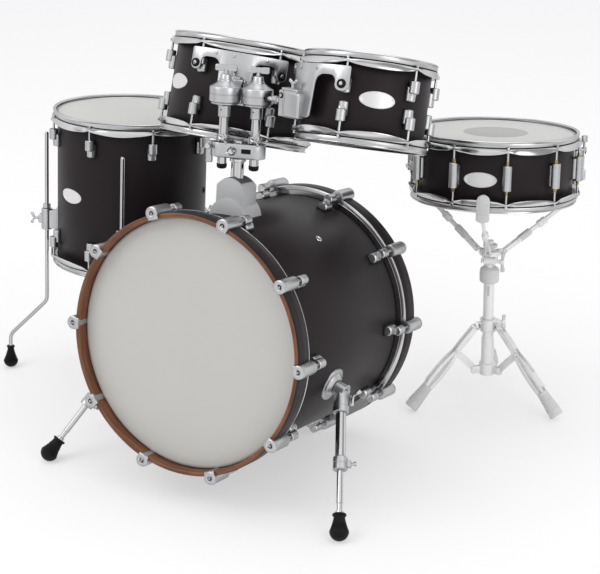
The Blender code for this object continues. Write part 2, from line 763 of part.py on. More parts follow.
def arm(name, seat, rod_frame):
    """One arm: a tube through the block with its lock collar, sleeve and ball housing, open where the rod comes out."""
    block_top = BLOCK_LOW + BLOCK_HEIGHT
    lock_low = block_top + CLEARANCE
    sleeve_top = BALL_HEIGHT - BALL_RADIUS - HOUSING_FLOOR
    sleeve_low = sleeve_top - SLEEVE[1]
    crest = BALL_HEIGHT + HOUSING_HEIGHT - BALL_RADIUS - HOUSING_FLOOR
    neck_low = crest + HOUSING_DISH
    neck_top = neck_low + CAP_NECK[1]
    wing_at = neck_top + CAP_STEM[1]
    cavity = BALL_RADIUS + BALL_CLEARANCE
    shoulder = cavity * math.sin(math.radians(45))
    body = turned([
        (ARM_RADIUS, BLOCK_LOW - ARM_BELOW), (ARM_RADIUS, lock_low), (LOCK[0], lock_low),
        (LOCK[0], lock_low + LOCK[1]), (ARM_RADIUS, lock_low + LOCK[1]), (ARM_RADIUS, sleeve_low),
        (SLEEVE[0], sleeve_low), (SLEEVE[0], sleeve_top), (HOUSING_RADIUS, sleeve_top + HOUSING_FLOOR),
        (HOUSING_RADIUS, crest), (HOUSING_RADIUS * HOUSING_CREST, crest + HOUSING_DISH / 2), (HOUSING_MOUTH_WIDE, neck_low),
        (CAP_NECK[0], neck_top), (CAP_STEM[0], neck_top), (CAP_STEM[0], wing_at + CAP_WING[2] / 2),
    ], TUBE_SIDES)
    hollow = turned([
        (cavity * BALL_END[0], BALL_HEIGHT + cavity), (shoulder, BALL_HEIGHT + shoulder),
        (cavity, BALL_HEIGHT + cavity * CAVITY_BAND), (cavity, BALL_HEIGHT - cavity * CAVITY_BAND),
        (shoulder, BALL_HEIGHT - shoulder), (cavity * BALL_END[0], BALL_HEIGHT - cavity),
    ][::-1], TUBE_SIDES)
    window = box((2 * HOUSING_RADIUS, *STEM_WINDOW), (HOUSING_RADIUS, 0, 0))
    window = moved(window, seat.world.inverted() @ rod_frame)
    cap_wing = box(CAP_WING, (0, 0, wing_at))
    wing = moved(wing_bolt(), sideways(LOCK[0], lock_low + LOCK[1] / 2))
    piece(f"tom_arm_{name}", fused(cut(body, fused(hollow, window)), cap_wing, wing), seat, CHROME)


def tom(side, name, swivel, pose, looks):
    """A tom on its bracket, and the bent rod that holds it: ball tilt first, then the slide."""
    place, axis, size, first_lug, bracket_at = pose
    label = "left" if side < 0 else "right"
    clamp_size = CLAMP_SIZE[label]
    radius, sides = size[0] / 2, TOM_SIDES
    upright = frame_on(place, axis)
    drum = upright @ turned_by(first_lug)
    band = upright @ turned_by(bracket_at)
    ball = swivel.world @ at(z=BALL_HEIGHT)
    stem_axis = swivel.world.to_3x3() @ Vector((0, 0, 1))
    clamp = band @ Vector((radius + CLAMP_OFF, 0, 0))
    below = (clamp - ball.translation).dot(stem_axis) / stem_axis.dot(band.col[2].xyz)
    clamp -= band.col[2].xyz * below
    reach = clamp - ball.translation
    tilt = Seat(f"tom_rod_{label}_tilt", frame_on(ball.translation, stem_axis, reach), swivel)
    arm(label, swivel, tilt.world)
    length = reach.length

    end = length + clamp_size[0] / 2 + ROD_PAST_CLAMP
    rod = swept([(BALL_RADIUS / 2, 0, 0), (end, 0, 0)], STEM_RADIUS, SLIM_SIDES)
    curve = math.sqrt(0.5) * BALL_RADIUS
    band_at = BALL_RADIUS * BALL_BAND
    end_radius, end_at = (BALL_RADIUS * share for share in BALL_END)
    sphere = turned([
        (end_radius, -end_at), (curve, -curve), (BALL_RADIUS, -band_at),
        (BALL_RADIUS, band_at), (curve, curve), (end_radius, end_at),
    ], TUBE_SIDES)
    piece(f"tom_rod_{label}", fused(sphere, rod), tilt, CHROME)

    slide = Seat(f"{name}_slide", tilt.world @ at(x=length), tilt)
    seat = Seat(name, drum, slide)
    small_drum(name, seat, size, sides, TOM_LUGS, looks)

    to_band = slide.world.inverted() @ band
    inner = radius + ROD_OFF + LUG_RADIUS + CLEARANCE
    lugs_at = [first_lug - bracket_at + 360 / TOM_LUGS * step for step in range(-2 * TOM_LUGS, 2 * TOM_LUGS)]
    low = max(angle for angle in lugs_at if angle < 0) - BRACKET_PAST_LUG
    high = min(angle for angle in lugs_at if angle > 0) + BRACKET_PAST_LUG
    strap = arc_plate(inner, BRACKET_THICK, low, high, sides, BRACKET_BAND, BRACKET_TOP)
    stem_half = math.degrees(BRACKET_STEM_WIDTH / 2 / inner)
    stem = arc_plate(
        inner + BRACKET_STEM_PROUD, BRACKET_THICK, -stem_half, stem_half, sides,
        BRACKET_STEM_DROP, BRACKET_TOP - BRACKET_STEM_PROUD,
    )
    block = box(clamp_size, (0, 0, CLAMP_DROP - clamp_size[2] / 2))
    wing = moved(wing_bolt(), at(z=CLAMP_DROP))
    bracket = fused(moved(fused(strap, stem), to_band), block, wing)
    bore = swept([(-length / 2, 0, 0), (length, 0, 0)], STEM_RADIUS + RUNNING, SLIM_SIDES)
    piece(f"tom_bracket_{label}", cut(bracket, bore), slide, CHROME)


def arc_plate(radius, thick, low, high, sides, height, top):
    """A curved upright plate from one angle to another, its inner flats at this radius."""
    step = 360 / sides
    count = max(2, round((high - low) / step))
    angles = [low + (high - low) * index / count for index in range(count + 1)]
    grow = 1.0 / math.cos(math.radians((high - low) / count / 2))
    inside = [polar(radius * grow, angle) for angle in angles]
    outside = [polar((radius + thick) * grow, angle) for angle in reversed(angles)]
    return moved(prism([(point.x, point.y) for point in inside + outside], height), at(z=top - height / 2))


# Floor tom


def floor_tom(root, looks):
    radius, sides = FLOOR_TOM_SIZE[0] / 2, FLOOR_TOM_SIDES
    upright = frame_on(FLOOR_TOM_AT, FLOOR_TOM_AXIS)
    seat = Seat("floor_tom", upright @ turned_by(FLOOR_TOM_LUG), root)
    brackets = []
    for angle in FLOOR_LEG_AT:
        depth = LEG_OFF + LEG_BRACKET[0] / 2 + OVERLAP
        block = box((depth, *LEG_BRACKET), (radius - OVERLAP + depth / 2, 0, LEG_BRACKET_AT))
        wing = moved(wing_bolt(), turned_by(90) @ sideways(radius - OVERLAP + depth, LEG_BRACKET_AT))
        bore = disc(LEG_RADIUS + RUNNING, -LEG_BRACKET[1], LEG_BRACKET[1], SLIM_SIDES)
        block = cut(fused(block, wing), moved(bore, at(x=radius + LEG_OFF, z=LEG_BRACKET_AT)))
        brackets.append(moved(block, turned_by(angle - FLOOR_TOM_LUG)))
    small_drum("floor_tom", seat, FLOOR_TOM_SIZE, sides, FLOOR_TOM_LUGS, looks, brackets)
    for index, angle in enumerate(FLOOR_LEG_AT, 1):
        leg = Seat(f"floor_tom_leg_{index}_slide", upright @ turned_by(angle) @ at(x=radius + LEG_OFF), seat)
        down = leg.world.to_3x3().inverted() @ Vector((0, 0, -1))
        ankle = Vector((LEG_SPREAD, 0, LEG_ANKLE))
        height = (leg.world @ ankle).z
        sole = Vector((ankle.x, 0, ankle.z - height))
        route = rounded_route([(0, 0, LEG_TOP), (0, 0, LEG_KNEE), ankle, sole], LEG_BEND)[:-1]
        route.append(sole + Vector((0, 0, LEG_RUBBER[0])))
        rod = swept(route, LEG_RADIUS, SLIM_SIDES)
        rubber = turned([
            (LEG_RUBBER[0] * RUBBER_TAPER, LEG_RUBBER[1]), (LEG_RUBBER[0], LEG_RUBBER[1] / 3),
            (LEG_RUBBER[0], 0),
        ], TUBE_SIDES)
        rubber = moved(looking(rubber, 1), at(*sole))
        rubber = stood(rubber, leg.world, (0, 0, -1))
        piece(f"floor_tom_leg_{index}", fused(rod, rubber), leg, CHROME, RUBBER)


# Snare stand


def pin_across(centre, radius, length):
    """A round pin along Y."""
    pin = disc(radius, -length / 2, length / 2, SLIM_SIDES)
    return moved(pin, at(*centre) @ Matrix.Rotation(math.pi / 2, 4, "X"))


def stand(root):
    """Tube, leg collar, legs and struts. Returns the seat of the height slide."""
    seat = Seat("stand", at(*STAND_AT), root)
    outer, inner = STAND_TUBE
    gap = BAR_GAP
    hub_top = HUB_AT + HUB_RING[1] / 2
    tube = turned([
        (inner, STAND_TUBE_LOW), (inner, STAND_TUBE_TOP + HEIGHT_COLLAR[1]),
        (HEIGHT_COLLAR[0], STAND_TUBE_TOP + HEIGHT_COLLAR[1]), (HEIGHT_COLLAR[0], STAND_TUBE_TOP),
        (outer, STAND_TUBE_TOP), (outer, hub_top), (HUB_RING[0], hub_top),
        (HUB_RING[0], hub_top - HUB_RING[1]), (outer, hub_top - HUB_RING[1]), (outer, STAND_TUBE_LOW),
    ][::-1], TUBE_SIDES, ring=True)
    ear_at = STRUT_BAR[0] / 2 + CLEARANCE + EAR_THICK / 2
    ears = bmesh.new()
    ear_length = PIVOT_RADIUS + TAB[1] / 2 - outer
    ear = cut(
        box((ear_length, EAR_THICK, TAB[1]), (outer + ear_length / 2, 0, 0)),
        pin_across((PIVOT_RADIUS, 0, 0), PIN_RADIUS + RUNNING, TAB[1]),
    )
    places = [turned_by(angle) @ at(y=sign * ear_at, z=HUB_AT) for angle in STAND_LEG_AT for sign in (-1, 1)]
    wing = moved(wing_bolt(), sideways(HEIGHT_COLLAR[0], STAND_TUBE_TOP + HEIGHT_COLLAR[1] / 2))
    piece("stand_base_tube", fused(tube, gathered(ear, places), wing), seat, PALE_METAL)

    rise = Seat("stand_collar_slide", seat.world @ at(z=LEG_COLLAR_AT), seat)
    bore = outer + RUNNING
    half = LEG_COLLAR[1] / 2
    ring = turned([
        (LEG_COLLAR[0], -half), (LEG_COLLAR[0], half), (bore, half), (bore, -half),
    ], TUBE_SIDES, ring=True)
    tab_length = PIVOT_RADIUS + TAB[1] / 2 - bore - OVERLAP
    tab = cut(
        box((tab_length, TAB[0], TAB[1]), (bore + OVERLAP + tab_length / 2, 0, 0)),
        pin_across((PIVOT_RADIUS, 0, 0), PIN_RADIUS + RUNNING, TAB[1]),
    )
    between = STAND_LEG_AT[0] + 180 / len(STAND_LEG_AT)
    wing = moved(wing_bolt(), turned_by(between + 90) @ sideways(LEG_COLLAR[0], 0.0))
    collar = fused(ring, gathered(tab, [turned_by(angle) for angle in STAND_LEG_AT]), wing)
    piece("stand_leg_collar", collar, rise, PALE_METAL)

    drop = LEG_COLLAR_AT - HUB_AT
    foot = Vector((STAND_FOOT_RADIUS - PIVOT_RADIUS, 0, -LEG_COLLAR_AT + STAND_RUBBER[0]))
    lean = math.atan2(foot.x, -foot.z)
    link = drop / 2 / math.cos(lean)
    for index, angle in enumerate(STAND_LEG_AT, 1):
        pivot = seat.world @ turned_by(angle) @ at(x=PIVOT_RADIUS)
        leg = Seat(f"stand_leg_{index}_hinge", pivot @ at(z=LEG_COLLAR_AT), rise)
        bars = []
        for sign in (-1, 1):
            bar = prism(bar_outline((0, 0), (foot.x, foot.z), BAR[1], BAR[1] / 2), BAR[0])
            bar = moved(bar, at(y=sign * (gap + BAR[0] / 2)) @ Matrix.Rotation(math.pi / 2, 4, "X"))
            bars.append(bar)
        pin = pin_across((0, 0, 0), PIN_RADIUS, 2 * gap + 2 * BAR[0] + PIN_PROUD)
        rubber = looking(turned([
            (STAND_RUBBER[0] * RUBBER_TAPER, 0.0), (STAND_RUBBER[0], STAND_RUBBER[1] / 2),
            (STAND_RUBBER[0], STAND_RUBBER[1]),
        ], TUBE_SIDES), 1)
        along = foot.normalized()
        rubber_at = foot - along * STAND_RUBBER[1] * STAND_RUBBER_ABOVE
        rubber = moved(rubber, frame_on(rubber_at, along, (0, 1, 0)))
        rubber = stood(rubber, leg.world, along)
        piece(f"stand_leg_{index}", fused(bars[0], bars[1], pin, rubber), leg, PALE_METAL, RUBBER)

        brace = Seat(f"stand_strut_{index}_hinge", pivot @ at(z=HUB_AT), seat)
        joint = Vector((math.sin(lean), 0, math.cos(lean))) * link
        strut = prism(bar_outline((0, 0), (joint.x, joint.z), STRUT_BAR[1], STRUT_BAR[1] / 2), STRUT_BAR[0])
        strut = moved(strut, Matrix.Rotation(math.pi / 2, 4, "X"))
        pin = pin_across((0, 0, 0), PIN_RADIUS, 2 * ear_at + EAR_THICK + 2 * CLEARANCE)
        piece(f"stand_strut_{index}", fused(strut, pin), brace, PALE_METAL)

    tilt_towards = math.degrees(math.atan2(SNARE_AXIS[1], SNARE_AXIS[0]))
    lift = Seat("stand_height_slide", seat.world @ at(z=TILTER_AT) @ turned_by(tilt_towards), seat)
    upper = disc(UPPER_TUBE_RADIUS, UPPER_TUBE_LOW - TILTER_AT, 0.0, TUBE_SIDES)
    barrel = pin_across((0, 0, 0), BARREL[0], BARREL[1])
    bore = pin_across((0, 0, 0), PIN_RADIUS * 1.5 + RUNNING, BARREL[1] * 2)
    piece("stand_upper_tube", cut(fused(upper, barrel), bore), lift, PALE_METAL)
    return lift


def basket(lift):
    """The tilting hub with three arms that grip the snare drum, and the drum itself."""
    level = Vector((SNARE_AXIS[0], SNARE_AXIS[1], 0.0))
    tilt = Seat("basket_tilt", frame_on(lift.world.translation, SNARE_AXIS, level), lift)
    upright = frame_on(lift.world.translation, SNARE_AXIS)
    to_upright = tilt.world.inverted() @ upright
    ear_at = BARREL[1] / 2 + CLEARANCE + FORK_EAR[0] / 2
    radius, floor, height = BASKET_HUB
    plate = disc(radius, height - floor / 2, height + floor / 2, TUBE_SIDES)
    ears = gathered(
        box((2 * FORK_EAR[1], FORK_EAR[0], height + FORK_EAR[1]), (0, 0, (height - FORK_EAR[1]) / 2)),
        [at(y=sign * ear_at) for sign in (-1, 1)],
    )
    pin = pin_across((0, 0, 0), PIN_RADIUS * 1.5, 2 * ear_at + FORK_EAR[0] + PIN_PROUD)
    tab_length = BASKET_PIVOT[0] + BASKET_ARM[1] / 2 - radius / 2
    tab = cut(
        box((tab_length, BASKET_TAB, BASKET_ARM[1]), (radius / 2 + tab_length / 2, 0, BASKET_PIVOT[1])),
        pin_across((BASKET_PIVOT[0], 0, BASKET_PIVOT[1]), PIN_RADIUS + RUNNING, BASKET_ARM[1]),
    )
    hub = fused(plate, ears, pin, gathered(tab, [to_upright @ turned_by(angle) for angle in BASKET_ARM_AT]))
    piece("stand_basket_hub", hub, tilt, PALE_METAL)

    rim_at = SNARE_SIZE[0] / 2 + RIM_FLANGE
    for index, angle in enumerate(BASKET_ARM_AT, 1):
        pivot = upright @ turned_by(angle) @ at(x=BASKET_PIVOT[0], z=BASKET_PIVOT[1])
        seat = Seat(f"basket_arm_{index}_hinge", pivot, tilt)
        grip = (rim_at + CLEARANCE) / math.cos(math.pi / SNARE_SIDES) - BASKET_PIVOT[0]
        seat_z = DRUM_ABOVE_TILTER - BASKET_PIVOT[1] - CLEARANCE
        end = Vector((grip + TIP_SIZE[1] / 2, 0, seat_z - TIP_LEDGE))
        straps = []
        fork = Vector((BASKET_FORK, BASKET_FORK * end.z / end.x))
        wide, past = BASKET_ARM[1] * BASKET_STRAP, BASKET_ARM[1] / 2
        cheek_at = BASKET_TAB / 2 + CLEARANCE + BASKET_CHEEK / 2
        for sign in (-1, 1):
            strap = prism(bar_outline((0, 0), fork, wide, past), BASKET_CHEEK)
            straps.append(moved(strap, at(y=sign * cheek_at) @ Matrix.Rotation(math.pi / 2, 4, "X")))
        bar = prism(bar_outline(fork * BASKET_LAP, (end.x, end.z), BASKET_ARM[1], 0.0), BASKET_ARM[0])
        bar = moved(bar, Matrix.Rotation(math.pi / 2, 4, "X"))
        pin = pin_across((0, 0, 0), PIN_RADIUS, BASKET_TAB + 2 * CLEARANCE + 2 * BASKET_CHEEK + PIN_PROUD)
        low = seat_z - TIP_LEDGE * 1.5
        profile = [
            (grip - TIP_LEDGE, low), (grip + TIP_SIZE[1], low), (grip + TIP_SIZE[1], low + TIP_SIZE[2]),
            (grip + TIP_SIZE[1] / 3, low + TIP_SIZE[2]), (grip, low + TIP_SIZE[2] - TIP_SIZE[1]),
            (grip, seat_z), (grip - TIP_LEDGE, seat_z),
        ]
        tip = looking(upright_prism(profile, TIP_SIZE[0]), 1)
        piece(f"stand_basket_arm_{index}", fused(*straps, bar, pin, tip), seat, PALE_METAL, RUBBER)
    return tilt


def snare(tilt, looks):
    radius, total = SNARE_SIZE[0] / 2, drum_height(SNARE_SIZE)
    upright = frame_on(tilt.world.translation, SNARE_AXIS) @ at(z=DRUM_ABOVE_TILTER + total)
    seat = Seat("snare", upright @ turned_by(SNARE_LUG), tilt)
    small_drum("snare", seat, SNARE_SIZE, SNARE_SIDES, SNARE_LUGS, looks, tube_lugs=True)
    flat = radius + CLEARANCE
    throw = seat.world @ turned_by(STRAINER_AROUND)
    frame = Seat("snare_strainer_frame", throw, seat)
    wide, deep, tall = STRAINER_SIZE
    face = flat + deep
    lever_at = STRAINER_AT - tall / 2 + LEVER_WIDTH
    ear = box((LEVER_EAR, EAR_THICK * 2, LEVER_WIDTH), (face + LEVER_EAR / 2 - OVERLAP / 2, 0, lever_at))
    ear = cut(ear, pin_across((face + LEVER_PIVOT, 0, lever_at), PIN_RADIUS + RUNNING, LEVER_WIDTH))
    side = LEVER_WIDTH / 2 + CLEARANCE + EAR_THICK
    ears = gathered(ear, [at(y=sign * side) for sign in (-1, 1)])
    saddle = disc(flat, -total, 0.0, SNARE_SIDES)
    case = box((deep + OVERLAP, wide, tall), (face - (deep + OVERLAP) / 2, 0, STRAINER_AT))
    case = cut(case, moved(saddle, turned_by(-STRAINER_AROUND)))
    piece("snare_strainer", fused(case, ears), frame, CHROME)
    lever = Seat("snare_lever_hinge", throw @ at(x=face + LEVER_PIVOT, z=lever_at), frame)
    blade = box((LEVER_THICK, LEVER_WIDTH, LEVER_LENGTH), (0, 0, LEVER_LENGTH / 2 - LEVER_THICK))
    pin = pin_across((0, 0, 0), PIN_RADIUS, 2 * side + 2 * EAR_THICK)
    piece("snare_strainer_lever", fused(blade, pin), lever, CHROME)

    opposite = Seat("snare_butt_frame", throw @ turned_by(180), seat)
    wide, deep, tall = BUTT_SIZE
    butt = box((deep + OVERLAP, wide, tall), (flat + (deep - OVERLAP) / 2, 0, STRAINER_AT))
    saddle = disc(flat, -total, 0.0, SNARE_SIDES)
    butt = cut(butt, moved(saddle, turned_by(-180 - STRAINER_AROUND)))
    piece("snare_butt_plate", butt, opposite, CHROME)

    under = -total - FILM_TOP - CLEARANCE
    span = (WIRE_COUNT - 1) * WIRE_PITCH
    plate = box((WIRE_PLATE[0], span + 2 * WIRE_PITCH, WIRE_PLATE[1]))
    plates = [at(x=sign * WIRE_LENGTH / 2, z=under - WIRE_PLATE[1] / 2) for sign in (-1, 1)]
    wire = box((WIRE_LENGTH, 2 * WIRE_RADIUS, 2 * WIRE_RADIUS), (0, 0, under - WIRE_RADIUS - CLEARANCE))
    lines = [at(y=(index - (WIRE_COUNT - 1) / 2) * WIRE_PITCH) for index in range(WIRE_COUNT)]
    piece("snare_wires", fused(gathered(wire, lines), gathered(plate, plates)), frame, CHROME)


# The whole kit


def stand_on_origin():
    """Move the kit so that the middle of its box, on the floor, is the origin."""
    bpy.context.view_layer.update()
    corners = [
        item.matrix_world @ vert.co
        for item in bpy.data.objects if item.type == "MESH" for vert in item.data.vertices
    ]
    middle = [(min(c[axis] for c in corners) + max(c[axis] for c in corners)) / 2 for axis in range(2)]
    floor = min(c.z for c in corners)
    for item in bpy.data.objects:
        if item.parent is None:
            item.location = item.location - Vector((middle[0], middle[1], floor))


def build():
    for item in list(bpy.data.objects):
        bpy.data.objects.remove(item)
    root = Seat("drum_kit", Matrix())
    radius = BASS_SIZE[0] / 2
    height = BASS_LENGTH * math.sin(BASS_TILT) + (radius + BASS_HOOP_OVER) * math.cos(BASS_TILT)
    back = (0.0, math.cos(BASS_TILT), -math.sin(BASS_TILT))
    bass_seat = Seat("bass_drum", frame_on((0, 0, height), back, (-1, 0, 0)), root)
    bass_drum(bass_seat)
    for side in (-1, 1):
        spur(side, bass_seat)
    swivels = holder(bass_seat)
    clear = {"shell": BLACK_SHELL, "batter": COATED_HEAD, "resonant": CLEAR_HEAD}
    foot = bass_seat.world @ Vector((0, radius, HOLDER_ALONG))
    left_at, right_at = foot + Vector(TOM_LEFT_FROM_HOLDER), foot + Vector(TOM_RIGHT_FROM_HOLDER)
    left = (left_at, TOM_LEFT_AXIS, TOM_LEFT_SIZE, TOM_LEFT_LUG, TOM_LEFT_BRACKET)
    right = (right_at, TOM_RIGHT_AXIS, TOM_RIGHT_SIZE, TOM_RIGHT_LUG, TOM_RIGHT_BRACKET)
    tom(-1, "tom_left", swivels[-1], left, clear)
    tom(1, "tom_right", swivels[1], right, clear)
    floor_tom(root, clear)
    lift = stand(root)
    snare(basket(lift), clear)
    stand_on_origin()


BLACK_SHELL = material("black_shell", (0.015, 0.012, 0.011), 0.35)
WOOD = material("hoop_wood", (0.23, 0.11, 0.05), 0.4)
CHROME = material("chrome", (0.8, 0.8, 0.8), 0.12, 1.0)
CAST_METAL = material("cast_metal", (0.45, 0.46, 0.47), 0.35, 0.9)
PALE_METAL = material("pale_metal", (0.72, 0.74, 0.74), 0.3, 0.6)
RUBBER = material("rubber", (0.02, 0.02, 0.02), 0.8)
WHITE_HEAD = material("bass_head", (0.75, 0.76, 0.74), 0.45)
COATED_HEAD = material("batter_head", (0.78, 0.78, 0.76), 0.5)
CLEAR_HEAD = material("resonant_head", (0.70, 0.72, 0.72), 0.25)

build()
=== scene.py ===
"""The looks of a five-piece drum kit, dressed around its packed construction.

Metres, +Z up. Every piece is placed by the construction's own bodies, joints and nodes.
"""

import json
import math

import bmesh
import bpy
from bpy.props import FloatProperty, FloatVectorProperty, IntProperty, PointerProperty
from mathutils import Matrix, Vector


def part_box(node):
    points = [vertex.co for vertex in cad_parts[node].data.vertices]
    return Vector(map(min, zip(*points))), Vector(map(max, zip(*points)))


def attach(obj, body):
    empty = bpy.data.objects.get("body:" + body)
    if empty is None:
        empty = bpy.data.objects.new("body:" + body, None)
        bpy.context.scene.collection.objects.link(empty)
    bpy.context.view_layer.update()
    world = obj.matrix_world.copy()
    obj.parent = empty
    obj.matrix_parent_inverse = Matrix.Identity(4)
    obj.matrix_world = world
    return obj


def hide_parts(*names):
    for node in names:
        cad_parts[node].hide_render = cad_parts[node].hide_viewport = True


bl_info = {
    "name": "Drum Kit Looks",
    "version": (1, 0, 0),
    "blender": (4, 5, 0),
    "location": "3D View > Sidebar > Drum Kit",
    "description": "Dresses a drum kit's construction with rims, lugs, heads, wood and plating",
    "category": "Object",
}

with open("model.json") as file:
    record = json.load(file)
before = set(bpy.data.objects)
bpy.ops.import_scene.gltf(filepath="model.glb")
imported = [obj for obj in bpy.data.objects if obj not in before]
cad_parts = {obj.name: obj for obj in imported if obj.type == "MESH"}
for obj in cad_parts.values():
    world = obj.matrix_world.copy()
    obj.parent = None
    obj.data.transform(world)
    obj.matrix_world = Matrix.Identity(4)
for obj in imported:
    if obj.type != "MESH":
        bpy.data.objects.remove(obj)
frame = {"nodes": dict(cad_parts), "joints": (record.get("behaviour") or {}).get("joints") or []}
JOINTS = {joint["name"]: joint for joint in frame["joints"]}
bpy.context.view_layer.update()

INCH = 0.0254

# Drums: name, head diameter, shell depth, lugs, turn of the first lug in degrees
TOMS = {
    "tom_left": (12 * INCH, 0.2, 6, 27.5),
    "tom_right": (10 * INCH, 6.5 * INCH, 6, 38.5),
    "floor_tom": (14 * INCH, 14 * INCH, 8, 5.0),
    "snare": (14 * INCH, 5.5 * INCH, 10, 14.5),
}
BODY_OF = {"tom_left": "tom_left", "tom_right": "tom_right", "floor_tom": "kit", "snare": "snare_basket"}
FILM_DROP = 0.0078
SHELL_DROP = 0.0093
SHELL_WALL = 0.007
ROD_OFF = 0.0125
BRACKET_AT = {"left": 297.5, "right": 233.5}
CLAMP_OFF = 0.036
CLAMP_RISE = 0.025
CLAMP_SIZE = {"left": (0.025, 0.044, 0.05), "right": (0.052, 0.03, 0.054)}
BLOCK_TOP = 0.148
BLOCK_TURN = 20.0
STRAINER_AROUND = 18.0

# The stand: its place from the photograph, its legs and arms in degrees about it, its heights and reaches
STAND_AT = (0.3373, 0.762, 0.0)
STAND_LEG_AT = (-9.3, 110.7, 230.7)
STAND_SOLE = 0.0165
STAND_LEG_OUT = 0.031
COLLAR_HEIGHT = 0.19
EAR_HEIGHT = 0.08
BASKET_ARM_AT = (288.0, 48.0, 168.0)
BASKET_ARM_OUT = 0.034
BASKET_RISE = 0.1277

# Badges: drum, angle from its first lug, height under its upper rim
BADGES = {
    "tom_left_badge": ("tom_left", -149.0, -0.109),
    "tom_right_badge": ("tom_right", -91.0, -0.09),
    "floor_tom_badge": ("floor_tom", -112.0, -0.19),
    "snare_badge": ("snare", -90.2, -0.0866),
}
# Other things on the shells: angle about the drum, height or place along it
VENT_AT = (15.0, -0.184)
SPUR_AT = (108, 0.205)
FLOOR_LEG_OUT = 0.032
BASS_VENT = (35.7, 0.274)

# Bass drum, along its own axis from the front hoop
BASS_RADIUS = 10 * INCH
BASS_LENGTH = 0.5078
BASS_HEAD_IN = 0.0238
BASS_SHELL_IN = 0.0253
BASS_HOOP_INSIDE = 0.01
BASS_HOOP_OUTSIDE = 0.0205
BASS_HOOP_WIDTH = 0.042
BASS_LUGS = 10
BASS_TILT = 8.35
CLAW_CIRCLE = 0.023


def millimetres(name, description, default, low=0.1, high=1000.0):
    """A size that the panel shows, stored in metres."""
    return FloatProperty(
        name=name, description=description, default=default, min=low / 1000, max=high / 1000,
        precision=4, unit="LENGTH",
    )


def paint(name, description, default):
    """A colour that the panel shows."""
    return FloatVectorProperty(
        name=name, description=description, default=default, size=3, min=0.0, max=1.0, subtype="COLOR",
    )


def watts(name, description, default):
    """A lamp's power that the panel shows."""
    return FloatProperty(name=name, description=description, default=default, min=0.0, unit="POWER")


# Finding places in the construction


def flat_end(node):
    """The middle and the outward normal of a construction node's widest flat face."""
    faces = frame["nodes"][node].data.polygons
    best = (0.0, None, None)
    for seed in sorted(faces, key=lambda face: -face.area)[:12]:
        level = [face for face in faces if face.normal.dot(seed.normal) > 0.99999]
        area = sum(face.area for face in level)
        if area > best[0] * 1.0001:
            middle = sum((face.center * face.area for face in level), Vector()) / area
            best = (area, middle, seed.normal.copy())
    return best[1], best[2].normalized()


def frame_on(origin, z_axis, x_hint=(1.0, 0.0, 0.0)):
    """A frame at origin with this Z axis, whose X axis is as near to x_hint as it can be."""
    z = Vector(z_axis).normalized()
    y = z.cross(Vector(x_hint)).normalized()
    made = Matrix((y.cross(z), y, z)).transposed().to_4x4()
    made.translation = Vector(origin)
    return made


def turn(degrees, axis="Z"):
    """A turn about an axis through the origin."""
    return Matrix.Rotation(math.radians(degrees), 4, axis)


def at(x=0.0, y=0.0, z=0.0):
    """A shift."""
    return Matrix.Translation((x, y, z))


def drum_frame(name):
    """A small drum's frame: Z = 0 at the top of its upper rim, X towards its first lug."""
    middle, normal = flat_end(f"{name}_batter_head")
    return frame_on(middle + normal * FILM_DROP, normal) @ turn(TOMS[name][3])


def bass_frame():
    """The bass drum's frame: Z = 0 at the front hoop's face and Z towards the drummer, Y up."""
    middle, normal = flat_end("bass_head_front")
    return frame_on(middle + normal * BASS_HEAD_IN, -normal, (-1, 0, 0))


def joint_point(name):
    return Vector(JOINTS[name]["pos_m"])


def joint_axis(name):
    return Vector(JOINTS[name]["axis"]).normalized()


# Modelling steps


def deselect():
    for item in bpy.context.selected_objects:
        item.select_set(False)


def choose(item):
    """Select this object alone and make it the active one."""
    deselect()
    item.select_set(True)
    bpy.context.view_layer.objects.active = item


def edit(item):
    choose(item)
    bpy.ops.object.mode_set(mode="EDIT")


def object_mode():
    bpy.ops.object.mode_set(mode="OBJECT")


def mm(points, out=0.0, up=0.0):
    """Points in millimetres, as metres from a place that lies this far out and up."""
    return [(out + x / 1000, up + y / 1000) for x, y in points]


def arc(wide, tall, angles, out=0.0, up=0.0):
    """Points of an ellipse at these angles in degrees, round a middle that lies this far out and up."""
    return [(out + wide * math.cos(math.radians(a)), up + tall * math.sin(math.radians(a))) for a in angles]


def turned(profile, look, sides=64, ring=False, smooth=35):
    """A piece turned about Z from (radius, height) points: a circle, extruded and resized again and again.

    A ring's profile closes on itself. Otherwise an end at radius 0 closes in a point, and
    any other end is filled flat.
    """
    deselect()
    points = [(max(radius, 1e-5), height) for radius, height in profile]
    radius, height = points[0]
    bpy.ops.mesh.primitive_circle_add(
        vertices=sides, radius=radius, fill_type="NOTHING", location=(0, 0, height),
    )
    item = bpy.context.object
    bpy.ops.object.transform_apply(location=True, rotation=False, scale=False)
    edit(item)
    bpy.ops.mesh.select_all(action="SELECT")
    for next_radius, next_height in points[1:] + ([points[0]] if ring else []):
        bpy.ops.mesh.extrude_region_move(TRANSFORM_OT_translate={"value": (0, 0, next_height - height)})
        ratio = next_radius / radius
        bpy.ops.transform.resize(value=(ratio, ratio, 1), center_override=(0, 0, next_height))
        radius, height = next_radius, next_height
    if not ring:
        bpy.ops.mesh.edge_face_add()
        shape = bmesh.from_edit_mesh(item.data)
        shape.verts.ensure_lookup_table()
        for index, vert in enumerate(shape.verts):
            vert.select_set(index < sides)
        shape.select_flush_mode()
        bmesh.update_edit_mesh(item.data)
        bpy.ops.mesh.edge_face_add()
    bpy.ops.mesh.select_all(action="SELECT")
    bpy.ops.mesh.remove_doubles(threshold=2e-5)
    bpy.ops.mesh.normals_make_consistent(inside=False)
    object_mode()
    return finished(item, look, smooth)


